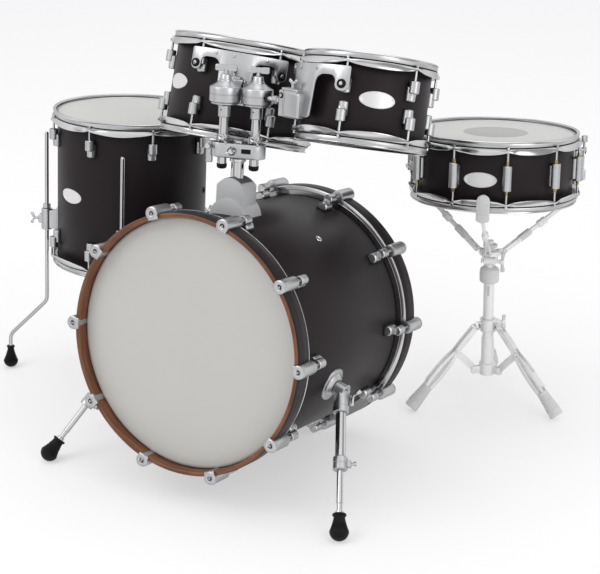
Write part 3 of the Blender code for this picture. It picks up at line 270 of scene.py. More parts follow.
def finished(item, look, smooth=35):
    """Give a piece the finish of this name and smooth shading."""
    item.data.materials.clear()
    item.data.materials.append(looks()[look])
    choose(item)
    bpy.ops.object.shade_smooth_by_angle(angle=math.radians(smooth))
    return item


def bevelled(item, width, segments=3):
    """Round a piece's edges with a bevel modifier that is then applied."""
    step = item.modifiers.new("round", "BEVEL")
    step.width = width
    step.segments = segments
    step.limit_method = "ANGLE"
    step.angle_limit = math.radians(30)
    step.harden_normals = False
    bpy.context.view_layer.objects.active = item
    bpy.ops.object.modifier_apply(modifier=step.name)
    return item


def plate(outline, thick, look, bevel=0.0, smooth=35):
    """An (x, y) outline as a plate, its lower face at Z = 0."""
    deselect()
    bpy.ops.mesh.primitive_circle_add(vertices=len(outline), radius=1.0, fill_type="NGON")
    item = bpy.context.object
    for vert, point in zip(item.data.vertices, outline):
        vert.co = (point[0], point[1], 0.0)
    edit(item)
    bpy.ops.mesh.select_all(action="SELECT")
    bpy.ops.mesh.extrude_region_move(TRANSFORM_OT_translate={"value": (0, 0, thick)})
    bpy.ops.mesh.select_all(action="SELECT")
    bpy.ops.mesh.normals_make_consistent(inside=False)
    object_mode()
    if bevel:
        bevelled(item, bevel, 2)
    return finished(item, look, smooth)


def block(size, middle, look, bevel=0.001, segments=3):
    """A box with rounded edges."""
    deselect()
    bpy.ops.mesh.primitive_cube_add(size=1.0, location=middle, scale=size)
    item = bpy.context.object
    bpy.ops.object.transform_apply(location=True, rotation=True, scale=True)
    bevelled(item, bevel, segments)
    return finished(item, look)


def tube(route, radius, look, sides=6):
    """A round bar along a route, with flat ends."""
    curve = bpy.data.curves.new("tube", "CURVE")
    curve.dimensions = "3D"
    curve.bevel_depth = radius
    curve.bevel_resolution = sides
    curve.use_fill_caps = True
    line = curve.splines.new("POLY")
    line.points.add(len(route) - 1)
    for point, place in zip(line.points, route):
        point.co = (*place, 1.0)
    item = bpy.data.objects.new("tube", curve)
    bpy.context.scene.collection.objects.link(item)
    choose(item)
    bpy.ops.object.convert(target="MESH")
    item = bpy.context.object
    edit(item)
    bpy.ops.mesh.select_all(action="SELECT")
    bpy.ops.mesh.remove_doubles(threshold=1e-5)
    bpy.ops.mesh.normals_make_consistent(inside=False)
    object_mode()
    return finished(item, look, 40)


def rounded_route(points, radius):
    """The points of a flat route with each inner corner rounded by an arc."""
    route = [Vector(points[0])]
    for before, corner, after in zip(points, points[1:], points[2:]):
        corner = Vector(corner)
        back = (Vector(before) - corner).normalized()
        ahead = (Vector(after) - corner).normalized()
        half = back.angle(ahead) / 2
        centre = corner + (back + ahead).normalized() * radius / math.sin(half)
        start = corner + back * radius / math.tan(half) - centre
        end = corner + ahead * radius / math.tan(half) - centre
        for step in range(11):
            route.append(centre + start.slerp(end, step / 10).normalized() * start.length)
    route.append(Vector(points[-1]))
    return route


def placed(item, matrix):
    """Move a piece's shape, leaving the object at the origin."""
    item.data.transform(matrix)
    if matrix.determinant() < 0:
        item.data.flip_normals()
    return item


def copies(item, matrices):
    """A copy of the piece at each matrix, each with its own mesh. The first piece is used up."""
    made = []
    for matrix in matrices:
        copy = item.copy()
        copy.data = item.data.copy()
        bpy.context.scene.collection.objects.link(copy)
        made.append(placed(copy, matrix))
    bpy.data.objects.remove(item)
    return made


def joined(name, *items):
    """Several pieces as one object with this name."""
    flat = []
    for item in items:
        flat.extend(item if isinstance(item, list) else [item])
    deselect()
    for item in flat:
        item.select_set(True)
    bpy.context.view_layer.objects.active = flat[0]
    if len(flat) > 1:
        bpy.ops.object.join()
    made = bpy.context.view_layer.objects.active
    made.name = name
    made.data.name = name
    return made


def dressed(name, shape, body, slot, *nodes, place=None):
    """Name a shape, put it at its place and let it ride on its body and stand for its construction nodes."""
    item = joined(name, shape)
    if place:
        placed(item, place)
    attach(item, body)
    if nodes:
        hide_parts(*nodes)
    return item


def around(count, offset=0.0):
    """The turns of a ring of equal pieces."""
    return [turn(360 / count * (index + offset)) for index in range(count)]


# Materials


def node(tree, kind, inputs, **settings):
    """A shader node with these settings and inputs."""
    made = tree.nodes.new("ShaderNode" + kind)
    for name, value in settings.items():
        setattr(made, name, value)
    return fed(tree, made, inputs)


def fed(tree, made, inputs):
    """Give a node its inputs: a socket is linked, and any other value is set."""
    for label, value in inputs.items():
        if isinstance(value, bpy.types.NodeSocket):
            tree.links.new(value, made.inputs[label])
        else:
            made.inputs[label].default_value = value
    return made


def wear_group():
    """Smudges and fine scratches: a mask, a roughness and a height for bumps."""
    if "handled_surface" in bpy.data.node_groups:
        return bpy.data.node_groups["handled_surface"]
    tree = bpy.data.node_groups.new("handled_surface", "ShaderNodeTree")
    tree.interface.new_socket(name="Vector", in_out="INPUT", socket_type="NodeSocketVector")
    for label, default in (
        ("Smudge Size", 14.0), ("Grain Size", 900.0), ("Roughness", 0.2), ("Variation", 0.1),
    ):
        socket = tree.interface.new_socket(name=label, in_out="INPUT", socket_type="NodeSocketFloat")
        socket.default_value = default
    for label in ("Mask", "Roughness", "Height"):
        tree.interface.new_socket(name=label, in_out="OUTPUT", socket_type="NodeSocketFloat")
    given, results = tree.nodes.new("NodeGroupInput").outputs, tree.nodes.new("NodeGroupOutput")
    smudge = node(tree, "TexNoise", {
        "Vector": given["Vector"], "Scale": given["Smudge Size"], "Detail": 5.0, "Roughness": 0.65,
    }).outputs["Fac"]
    grain = node(tree, "TexNoise", {"Vector": given["Vector"], "Scale": given["Grain Size"], "Detail": 3.0})
    centred = node(tree, "Math", {0: smudge, 1: 0.5}, operation="SUBTRACT").outputs[0]
    rough = node(tree, "Math", {
        0: centred, 1: given["Variation"], 2: given["Roughness"],
    }, operation="MULTIPLY_ADD")
    fed(tree, results, {"Mask": smudge, "Roughness": rough.outputs[0], "Height": grain.outputs["Fac"]})
    return tree


def shader_of(name):
    made = bpy.data.materials.new(name)
    made.use_nodes = True
    return made, made.node_tree, made.node_tree.nodes["Principled BSDF"]


def finish(name, colour, second, roughness, metallic=0.0, variation=0.1, smudge=14.0, grain=900.0,
           bump=0.02, alpha=1.0, specular=0.5, painted_reflections=()):
    """A surface of two near colours with smudges in its gloss and a fine grain.

    Painted reflections are (place, grey) pairs from where a metal faces the eye to its edge: greys multiplied
    into the base colour that paint the room it would mirror as lighter and darker rings.
    """
    made, tree, shader = shader_of(name)
    wear = node(tree, "Group", {
        "Vector": node(tree, "TexCoord", {}).outputs["Object"], "Smudge Size": smudge, "Grain Size": grain,
        "Roughness": roughness, "Variation": variation,
    }, node_tree=wear_group()).outputs
    base = node(tree, "Mix", {
        "A": (*colour, 1.0), "B": (*second, 1.0), "Factor": wear["Mask"],
    }, data_type="RGBA").outputs["Result"]
    # painted reflections: a grey ramp on the facing angle darkens and lightens the colour like a mirrored room
    if painted_reflections:
        ramp = node(tree, "ValToRGB", {"Fac": node(tree, "LayerWeight", {}).outputs["Facing"]})
        while len(ramp.color_ramp.elements) < len(painted_reflections):
            ramp.color_ramp.elements.new(0.5)
        for element, (position, grey) in zip(ramp.color_ramp.elements, painted_reflections):
            element.position = position
            element.color = (grey, grey, grey, 1.0)
        base = node(tree, "Mix", {
            "Factor": 1.0, "A": base, "B": ramp.outputs["Color"],
        }, data_type="RGBA", blend_type="MULTIPLY").outputs["Result"]
    bumps = node(tree, "Bump", {"Strength": bump, "Distance": 0.001, "Height": wear["Height"]})
    fed(tree, shader, {
        "Base Color": base, "Roughness": wear["Roughness"], "Normal": bumps.outputs["Normal"],
        "Metallic": metallic,
        "Specular IOR Level": specular, "Alpha": alpha,
    })
    return made


def wood(dark, light, roughness, lay):
    """Wood whose grain runs round the bass drum's axis. lay turns the drum's frame to world places."""
    made, tree, shader = shader_of("stained_hoop")
    location, rotation, _ = lay.inverted().decompose()
    centre = node(tree, "Mapping", {
        "Vector": node(tree, "TexCoord", {}).outputs["Object"], "Location": location,
        "Rotation": rotation.to_euler(),
    }, vector_type="POINT")
    part = node(tree, "SeparateXYZ", {"Vector": centre.outputs["Vector"]}).outputs
    angle = node(tree, "Math", {0: part["Y"], 1: part["X"]}, operation="ARCTAN2").outputs[0]
    flat = node(tree, "CombineXYZ", {"X": part["X"], "Y": part["Y"]})
    radius = node(tree, "VectorMath", {0: flat.outputs["Vector"]}, operation="LENGTH").outputs["Value"]
    laid = node(tree, "CombineXYZ", {
        label: node(tree, "Math", {0: source, 1: factor}, operation="MULTIPLY").outputs[0]
        for label, source, factor in (("X", radius, 60.0), ("Y", part["Z"], 60.0), ("Z", angle, 1.6))
    })
    figure = node(tree, "TexNoise", {
        "Scale": 2.2, "Detail": 9.0, "Distortion": 0.7, "Vector": laid.outputs["Vector"],
    }).outputs["Fac"]
    ramp = node(tree, "ValToRGB", {"Fac": figure})
    for element, position, colour in zip(ramp.color_ramp.elements, (0.32, 0.68), (dark, light)):
        element.position = position
        element.color = (*colour, 1.0)
    bumps = node(tree, "Bump", {"Strength": 0.12, "Distance": 0.0006, "Height": figure})
    fed(tree, shader, {
        "Base Color": ramp.outputs["Color"], "Normal": bumps.outputs["Normal"], "Roughness": roughness,
        "Specular IOR Level": 0.3, "Coat Weight": 0.1, "Coat Roughness": 0.18,
    })
    return made


# Small fittings


def wing_bolt(span=0.026, rise=0.014, reach=0.012):
    """A wing bolt along +Z from its seat, its two rounded wings in the XZ plane."""
    profile = mm([(5.2, -1), (5.2, 1.5), (3.6, 3)]) + mm([(3.6, -2), (5, 0), (5, 3), (0, 4.5)], up=reach)
    stem = turned(profile, "chrome", 24)
    outline = []
    for side in (1, -1):
        lobe = [
            (side * (span * 0.31 + rise * 0.34 * share * math.cos(math.radians(angle))),
             reach + rise * 0.28 + rise * 0.42 * share * math.sin(math.radians(angle)))
            for angle, share in ((-60, 0.5), (-25, 0.8), (10, 1.0), (45, 1.0), (80, 0.9), (120, 0.62))
        ]
        outline += lobe[::side] + [(side * 0.002, reach + side * 0.003)]
    wings = placed(plate(outline, 0.0034, "chrome", 0.0011), turn(90, "X") @ at(z=-0.0017))
    return joined("wing", stem, wings)


def slotted_screw(look, radius=0.0042):
    """A low round screw head along +Z."""
    return turned([
        (radius, -0.001), (radius, 0.001), (radius * 0.8, 0.0019), (radius * 0.35, 0.0021),
        (radius * 0.3, 0.0012), (0.0, 0.0011),
    ], look, 20)


def rubber_foot(radius, length, neck):
    """A ribbed rubber foot along +Z: a lipped narrow end at 0, a swelling body and a round sole."""
    centre = length - radius
    profile = [
        (0.0, 0.0), (neck * 1.16, 0.0), (neck * 1.22, 0.0012), (neck * 1.22, 0.0034), (neck * 1.12, 0.0044),
        (neck, 0.0056),
    ]
    step = (centre - 0.008) / 7
    for index in range(7):
        height = 0.008 + step * index
        width = neck + (radius - neck) * (index / 7) ** 1.3
        profile.append((width, height))
        if index > 2:
            profile += [
                (width + 0.0004, height + step * 0.55), (width - 0.0006, height + step * 0.65),
                (width - 0.0006, height + step * 0.9),
            ]
    profile += arc(radius, radius, range(0, 90, 9), up=centre)
    return turned(profile + [(0.0, length)], "rubber", 40)


# Small drums


def drum_total(depth):
    return depth + 2 * SHELL_DROP


def pressed_rim(radius, count, sizes):
    """A rim with a rolled lip, an upright wall and a flange that runs out into an ear at each rod."""
    profile = mm([(6.7, -19), (6.7, -7), (5, -4.4), (3.4, -2.4), (4.6, -0.6), (6.8, 0)], out=radius)
    profile += mm([(-1.2, -0.4), (0, -1.8), (-0.4, -3.2), (-2.2, -4)], out=radius + sizes.lip)
    profile += mm([(7, -5.2), (7.6, -6.8), (7.6, -12.8), (6.8, -13.6), (6.8, -14.6)], out=radius + sizes.wall)
    profile += mm([
        (10.4, -15.2), (13, -16.6), (15.2, -18.8), (16.3, -21.4), (16, -23), (14, -23.2), (11, -21.2),
        (8, -19.8),
    ], out=radius)
    item = turned(profile, "chrome", count * 20, ring=True, smooth=50)
    step = math.tau / count
    for vert in item.data.vertices:
        reach = vert.co.xy.length - radius
        if vert.co.z > -0.0175 or reach < 0.01:
            continue
        off = abs((math.atan2(vert.co.y, vert.co.x) + step / 2) % step - step / 2)
        ear = max(0.0, 1.0 - off * radius / sizes.ear) ** 0.5 if off * radius < sizes.ear else 0.0
        share = min(1.0, max(0.0, (reach - 0.0126) / 0.0024))
        sag = math.sin(math.pi * off / step) ** 0.8
        grow = share * (0.0035 * ear - 0.0008 * sag)
        vert.co.xy *= (vert.co.xy.length + grow) / vert.co.xy.length
        vert.co.z += share * (0.0012 * ear - sizes.scallop * sag)
    # Painted shade: the rim is one plated steel part, but its upright wall outside gets a darker copy of the
    # plating, and the step just under the wall black rubber as a painted shadow line.
    for look_name in ("rim_wall_painted_shade", "rubber"):
        item.data.materials.append(LOOKS[look_name])
    for face in item.data.polygons:
        outside = face.center.xy.length > radius + 0.0067
        # the upright wall: darker plating as painted shade
        if outside and -0.013 < face.center.z < -0.0056:
            face.material_index = 1
        # the step under the wall: black as painted shade in the crease
        elif outside and -0.0144 < face.center.z < -0.013:
            face.material_index = 2
    return item


def tension_rod(radius, low):
    """A rod at +X with a square key head above the rim's ear and a black washer under it."""
    x = radius + ROD_OFF
    shaft = turned([
        (0.0, low), (0.0026, low), (0.0026, -0.02), (0.003, -0.0196), (0.0056, -0.0192), (0.0056, -0.0178),
        (0.005, -0.0172), (0.003, -0.017), (0.0, -0.017),
    ], "chrome", 20)
    key = block((0.0052, 0.0052, 0.0062), (0, 0, -0.0142), "chrome", 0.0006, 2)
    ring = turned(mm([(0, -21.4), (6.2, -21.4), (6.6, -20.6), (6.2, -19.2), (0, -19)]), "rubber", 20)
    return placed(joined("rod", shaft, key, ring), at(x=x))


def barrel_lug(radius, sizes):
    """A lug at +X of two half-overlapping barrels: one round the rod, one on the shell."""
    barrel, high, low = sizes.barrel, -0.043, -0.084
    end, top = high - sizes.rod_barrel, low + sizes.foot_barrel
    front = turned([
        (0.0, high + 0.0006), (0.0034, high + 0.0006), (0.0036, high), (barrel - 0.0012, high),
        (barrel, high - 0.0012), (barrel, end + 0.0016), (barrel - 0.0016, end), (0.0, end),
    ], "satin", 32)
    foot = turned([
        (0.0, low + 0.0002), (barrel - 0.0018, low), (barrel, low + 0.0018), (barrel, top - 0.002),
        (barrel - 0.002, top), (0.0, top),
    ], "satin", 32)
    placed(front, at(x=radius + ROD_OFF))
    placed(foot, at(x=radius + 0.004))
    web = block((0.012, barrel * 1.3, 0.02), (radius + 0.0075, 0, high - 0.02), "satin", 0.001, 2)
    size = (0.0016, barrel * 2.16, sizes.foot_barrel + 0.0012)
    seat = block(size, (radius + 0.0005, 0, low + sizes.foot_barrel / 2), "rubber", 0.0005, 1)
    return joined("lug", front, foot, web, seat)


def tube_lug(radius, total, sizes):
    """The snare drum's double-ended lug, with a brass nut at each end."""
    middle, half, barrel = -total / 2, sizes.tube_lug / 2, sizes.barrel - 0.0002
    parts = [block((0.012, barrel * 1.2, half * 1.5), (radius + 0.0075, 0, middle), "satin", 0.001, 2)]
    for reach, edge, off in ((half, 0.0012, ROD_OFF), (half * 0.86, 0.0016, 0.0035)):
        low, high = middle - reach, middle + reach
        parts.append(placed(turned([
            (0.0, low), (barrel - edge, low), (barrel, low + edge), (barrel, high - edge),
            (barrel - edge, high), (0.0, high),
        ], "satin", 32), at(x=radius + off)))
    for sign in (-1, 1):
        nut = turned(mm([
            (0, 0), (4.2, 0), (4.2, 4.8), (3.4, 5.8), (3.4, 8.4), (0, 8.4),
        ]), "brass", 6, smooth=20)
        end = at(x=radius + ROD_OFF, z=middle + sign * half)
        parts.append(placed(nut, end @ turn(0 if sign > 0 else 180, "X")))
    return joined("lug", parts)


def shell_with_edges(radius, top, bottom, sides=144):
    """A shell with a lacquered outside, bare inside and bevelled bearing edges."""
    profile = mm([(0, 1.8)], out=radius, up=bottom)
    profile += mm([(0, -1.8), (-1.2, 0), (-3, -0.2)], out=radius, up=top)
    profile += [(radius - SHELL_WALL, top - 0.0042), (radius - SHELL_WALL, bottom + 0.0042)]
    profile += mm([(-3, 0.2), (-1.2, 0)], out=radius, up=bottom)
    item = turned(profile, "wrap", sides, ring=True)
    item.data.materials.append(LOOKS["maple"])
    for face in item.data.polygons:
        if face.center.xy.length < radius - 0.0006:
            face.material_index = 1
    return item


def drum_head(radius, look, patch=None):
    """A head: the skin, its rounded collar over the shell's edge and the metal ring round it."""
    top = -FILM_DROP
    profile = [(0.0, top - 0.0002), (radius * 0.35, top - 0.0001)] + mm([
        (-4, 0), (-0.8, -0.6), (1.2, -2.4), (1.6, -8), (0.8, -8.2), (0.4, -3.6), (-1.6, -1.3), (-6, -1.1),
    ], out=radius, up=top) + [(0.0, top - 0.0012)]
    skin = turned(profile, look, 128, smooth=50)
    ring = turned(mm([
        (1.3, -8.8), (6.1, -8.8), (6.1, -0.6), (5.2, 0), (3.6, -0.2), (1.4, -2.8),
    ], out=radius, up=top), "satin", 128, ring=True)
    made = [skin, ring]
    if patch:
        made.append(turned([
            (patch[0], top + 0.00005), (patch[0] - 0.0004, top + 0.00025), (0.0, top + 0.00025),
        ], patch[1], 96))
    return joined("head", *made)


def grommet(look, radius=0.0062):
    """A ringed air vent along +Z, with a black disc in its hole as painted shade."""
    ring = turned([
        (radius, -0.002), (radius, 0.0008), (radius * 0.88, 0.0018), (radius * 0.62, 0.0016),
        (radius * 0.5, 0.0004), (radius * 0.5, -0.002),
    ], look, 32, ring=True)
    # black disc: painted shade inside the vent hole
    dark = turned([
        (0.0, -0.0018), (radius * 0.52, -0.0018), (radius * 0.52, -0.0002), (0.0, -0.0002),
    ], "rubber", 24)
    return joined("vent", ring, dark)


def flush_on(radius, angle, height):
    """A frame on a shell's outside at this angle and height: Z outwards, Y up the drum."""
    return turn(angle) @ at(x=radius, z=height) @ turn(90, "Y") @ turn(90, "Z")


def bare_badge(radius, wide, tall):
    """A plain oval badge with a raised border, bent to the shell it sits on. Z is outwards."""
    base = turned([
        (1.0, -0.0006), (1.0, 0.001), (0.985, 0.0015), (0.93, 0.0016), (0.91, 0.0012), (0.9, 0.001),
        (0.7, 0.001), (0.5, 0.001), (0.3, 0.001), (0.15, 0.001), (0.0, 0.001),
    ], "badge", 64)
    for vert in base.data.vertices:
        vert.co.x *= wide / 2
        vert.co.y *= tall / 2
        vert.co.z -= radius - math.sqrt(radius ** 2 - vert.co.x ** 2)
    return finished(base, "badge")


# Bass drum


def bass_hoop(sizes):
    """A laminated hoop in the bass drum's frame, brown on its face and inside, black round its outside."""
    outer, inner = BASS_RADIUS + BASS_HOOP_OUTSIDE, BASS_RADIUS + BASS_HOOP_INSIDE
    edge, wide = sizes.hoop_edge, BASS_HOOP_WIDTH
    item = turned([
        (outer, 0.01), (outer, edge), (outer - edge * 0.3, edge * 0.3), (outer - edge, 0.0),
        (inner + edge, 0.0), (inner + edge * 0.3, edge * 0.3), (inner, edge), (inner, wide - 0.001),
        (inner + 0.001, wide), (outer - 0.001, wide), (outer, wide - 0.001), (outer, 0.022),
    ], "hoop", 160, ring=True, smooth=50)
    item.data.materials.append(LOOKS["wrap"])
    for face in item.data.polygons:
        middle = face.center
        if middle.xy.length > outer - 0.0012 and middle.z > edge * 0.6 or middle.z > wide - 0.0006:
            face.material_index = 1
    return item


def bass_claw(sizes):
    """A claw at +X: a rounded bar over the hoop, its recessed bolt, the rod and the barrel lug on the shell."""
    r = sizes.claw
    bar = turned(mm([(0, -2), (5, -2), (5.4, -6.6), (6.6, -7.2)]) + mm([
        (-2.2, -7.2), (-0.6, -6.2), (0, -4.6), (0, 3), (0, 45.2), (-0.8, 48.4), (-3, 49.2),
    ], out=r) + mm([(4.6, 49.2), (0, 48.8)]), "satin", 40)
    # black disc at the bottom of the bolt's recess: painted shade
    hole = turned(mm([(0, -3.6), (5, -3.6), (5, -2.4), (0, -2.2)]), "rubber", 20)
    key = block((0.005, 0.005, 0.005), (0, 0, -0.005), "chrome", 0.0005, 2)
    cheek = block((0.012, r * 1.7, 0.006), (-0.008, 0, -0.0034), "satin", 0.0022, 3)
    saddle = block((0.0085, r * 1.8, 0.043), (-0.0065, 0, 0.024), "satin", 0.0024, 3)
    rod = turned(mm([(0, 45), (3, 45), (3, 87), (0, 87)]), "chrome", 20)
    round_front = mm([(-5.6, 68), (-4.2, 69.4), (-4.2, 90), (-5.8, 92)], out=r)
    front = turned([(0.0, 0.068), *round_front, (0.0, 0.092)], "satin", 32)
    round_foot = mm([(-4.8, 78), (-3.2, 79.8), (-3.2, 103), (-5.4, 106)], out=r)
    foot = placed(turned([(0.0, 0.078), *round_foot, (0.0, 0.1064)], "satin", 32), at(x=0.0065 - CLAW_CIRCLE))
    web = block((0.02, (r - 0.004) * 1.5, 0.018), (-0.01, 0, 0.084), "satin", 0.0015, 2)
    pad = block((0.0016, (r - 0.003) * 2.1, 0.03), (0.0006 - CLAW_CIRCLE, 0, 0.092), "rubber", 0.0005, 1)
    claw = joined("claw", bar, hole, key, cheek, saddle, rod, front, foot, web, pad)
    return placed(claw, at(x=BASS_RADIUS + CLAW_CIRCLE))


def bass_skin():
    """The bass drum's head with its collar, and the narrow bright ring that holds it."""
    film, radius = BASS_HEAD_IN, BASS_RADIUS
    skin = turned([(0.0, film), (radius * 0.45, film)] + mm([
        (3, 0), (8, 0.8), (9.6, 3.4), (9.8, 18.7), (0.6, 18.7), (0.4, 4.4), (-4, 1.8),
    ], out=radius, up=film) + [(0.0, film + 0.0014)], "bass_head", 144, smooth=50)
    ring = turned(mm([
        (0.8, 42.2), (19.2, 42.2), (20.2, 42.8), (20.6, 44), (20, 45.6), (18, 46.4), (12, 46.8), (11.2, 48.4),
        (0.8, 48.8),
    ], out=radius), "chrome", 144, ring=True)
    return joined("skin", skin, ring)


# Brackets and clamps


def curved_plate(outline, thick, inner, bevel=0.0009, cuts=20):
    """A flat (along, height) outline, thickened outwards and bent round the drum at this inner radius."""
    item = plate(outline, thick, "satin", bevel)
    edit(item)
    low = min(point[0] for point in outline)
    high = max(point[0] for point in outline)
    for index in range(1, cuts):
        bpy.ops.mesh.select_all(action="SELECT")
        cut = (low + (high - low) * index / cuts, 0, 0)
        bpy.ops.mesh.bisect(plane_co=cut, plane_no=(1, 0, 0), threshold=1e-6)
    object_mode()
    for vert in item.data.vertices:
        along, height, out = vert.co
        angle = along / inner
        vert.co = ((inner + out) * math.cos(angle), (inner + out) * math.sin(angle), height)
    return finished(item, "satin")


def rounded(points, radius):
    """A closed (x, y) outline with its corners rounded. A radius may be given for each corner."""
    made = []
    count = len(points)
    for index in range(count):
        corner = Vector(points[index])
        back = (Vector(points[index - 1]) - corner)
        ahead = (Vector(points[(index + 1) % count]) - corner)
        size = radius[index] if isinstance(radius, (list, tuple)) else radius
        half = back.angle(ahead) / 2
        size = min(size, back.length * 0.49 * math.tan(half), ahead.length * 0.49 * math.tan(half))
        if size < 1e-5 or half > math.radians(89):
            made.append(tuple(corner))
            continue
        back.normalize()
        ahead.normalize()
        centre = corner + (back + ahead).normalized() * size / math.sin(half)
        start = corner + back * size / math.tan(half) - centre
        end = corner + ahead * size / math.tan(half) - centre
        sweep = start.angle_signed(end)
        for step in range(6):
            spun = start.copy()
            spun.rotate(Matrix.Rotation(-sweep * step / 5, 2))
            made.append(tuple(centre + spun))
    return made


def clamp_box(size):
    """The bracket's clamp in the slide's frame: a jaw with an eye bolt, a thicker body, a wing bolt on top."""
    wide, deep, tall = size
    middle = CLAMP_RISE - tall / 2
    body = block((wide, deep, tall), (0, 0, middle), "satin", 0.003, 4)
    past = 0.36 * (wide - deep) if wide > deep else 0.0
    size = (wide * 0.56 + 2 * past, deep * 1.14, tall * 0.94)
    cap = block(size, (wide * 0.14 + past, 0, middle), "satin", 0.004, 4)
    step = block((wide * 0.9, deep * 0.7, 0.008), (0, 0, CLAMP_RISE + 0.0005), "satin", 0.002, 3)
    seam = block((0.0012, deep * 1.01, tall * 0.99), (-wide * 0.22, 0, middle), "rubber", 0.0004, 1)
    wing = placed(wing_bolt(), at(z=CLAMP_RISE + 0.0025))
    eyes = []
    for sign in (-1, 1):
        seat = at(x=-wide * 0.34, y=sign * deep / 2, z=CLAMP_RISE - 0.011) @ turn(-sign * 90, "X")
        eyes.append(placed(turned(mm([
            (0, -2), (5.8, -2), (5.8, 1.2), (4.6, 2), (4, 0.8), (0, 0.8),
        ]), "rubber", 28), seat))
        eyes.append(placed(slotted_screw("chrome", 0.0036), seat @ at(z=0.0006)))
    return joined("clamp", body, cap, step, seam, wing, eyes)


# Spurs


def domed_plate(wide, tall):
    """The spur's oval base plate with a raised dome."""
    base = plate(arc(wide, tall, [7.5 * step for step in range(48)]), 0.0105, "satin", 0.0026)
    placed(base, at(z=-0.008))
    dome = turned(mm([
        (0, -4), (28, -4), (27.6, 3.4), (25, 6.6), (20, 10.4), (17.6, 11.8), (0, 11.8),
    ]), "satin", 48)
    return joined("base", base, dome)


# What the panel can change


class DrumkitShells(bpy.types.PropertyGroup):
    """The shells' finish."""

    wrap: paint("Wrap", "Colour of the satin wrap", (0.0125, 0.0088, 0.0096))
    inside: paint("Inside", "Colour of the bare wood inside the shells", (0.42, 0.25, 0.13))


class DrumkitRims(bpy.types.PropertyGroup):
    """The pressed rims of the small drums."""

    lip: millimetres("Lip", "How far the rolled lip stands outside the shell", 0.0112, 8, 16)
    wall: millimetres("Wall", "Thickness of the pressed steel", 0.0022, 1, 4)
    ear: millimetres("Ear", "Half the width of the ear at each rod", 0.015, 8, 30)
    scallop: millimetres("Scallop", "How far the flange sags between two ears", 0.0066, 0.1, 12)


class DrumkitLugs(bpy.types.PropertyGroup):
    """The barrel lugs of the small drums."""

    barrel: millimetres("Barrel", "Radius of a lug's barrels", 0.0105, 5, 14)
    rod_barrel: millimetres("Rod barrel", "Length of the barrel round the rod", 0.025, 10, 60)
    foot_barrel: millimetres("Foot barrel", "Length of the barrel on the shell", 0.03, 10, 60)
    tube_lug: millimetres("Tube lug", "Length of the snare drum's double-ended lug", 0.056, 30, 90)


class DrumkitBass(bpy.types.PropertyGroup):
    """The bass drum's hoops and claws."""

    hoop_edge: millimetres("Hoop edge", "How far the hoop's front edges are rounded", 0.0032, 0.5, 6)
    claw: millimetres("Claw", "Radius of a claw's rounded bar", 0.0145, 8, 18)
    wood_dark: paint("Dark grain", "Colour of the dark grain of the hoops", (0.078, 0.027, 0.012))
    wood_light: paint("Light grain", "Colour of the light grain of the hoops", (0.215, 0.082, 0.036))


class DrumkitHolder(bpy.types.PropertyGroup):
    """The tom holder's casting and clamp block."""

    base_wide: millimetres("Base width", "Width of the casting on the bass drum", 0.066, 40, 90)
    base_deep: millimetres("Base depth", "Depth of the casting's arched body", 0.054, 40, 80)
    base_high: millimetres("Base height", "Height of the casting above the shell", 0.076, 50, 100)
    block_half: millimetres("Block", "Half the length of the clamp block", 0.0575, 50, 70)


class DrumkitStand(bpy.types.PropertyGroup):
    """The snare stand's spread."""

    foot_radius: millimetres("Spread", "Distance of a leg's foot from the stand's axis", 0.1905, 150, 230)


class DrumkitBadges(bpy.types.PropertyGroup):
    """The bare oval badges."""

    long: millimetres("Badge", "Length of an oval badge", 0.073, 40, 100)


class DrumkitStage(bpy.types.PropertyGroup):
    """Floor, light and camera."""

    floor: paint("Floor", "Colour of the floor", (0.94, 0.94, 0.94))
    key: watts("Key light", "Power of the large soft light", 78.0)
    fill: watts("Fill light", "Power of the light on the other side", 34.0)
    lens: FloatProperty(
        name="Lens", description="Focal length of the camera", default=98.94, min=10.0, unit="CAMERA",
    )


GROUPS = {
    "drumkit_shells": DrumkitShells, "drumkit_rims": DrumkitRims, "drumkit_lugs": DrumkitLugs,
    "drumkit_bass": DrumkitBass, "drumkit_holder": DrumkitHolder, "drumkit_stand": DrumkitStand,
    "drumkit_badges": DrumkitBadges, "drumkit_stage": DrumkitStage,
}


# Finishes, made once and shared by all operators

LOOKS = {}


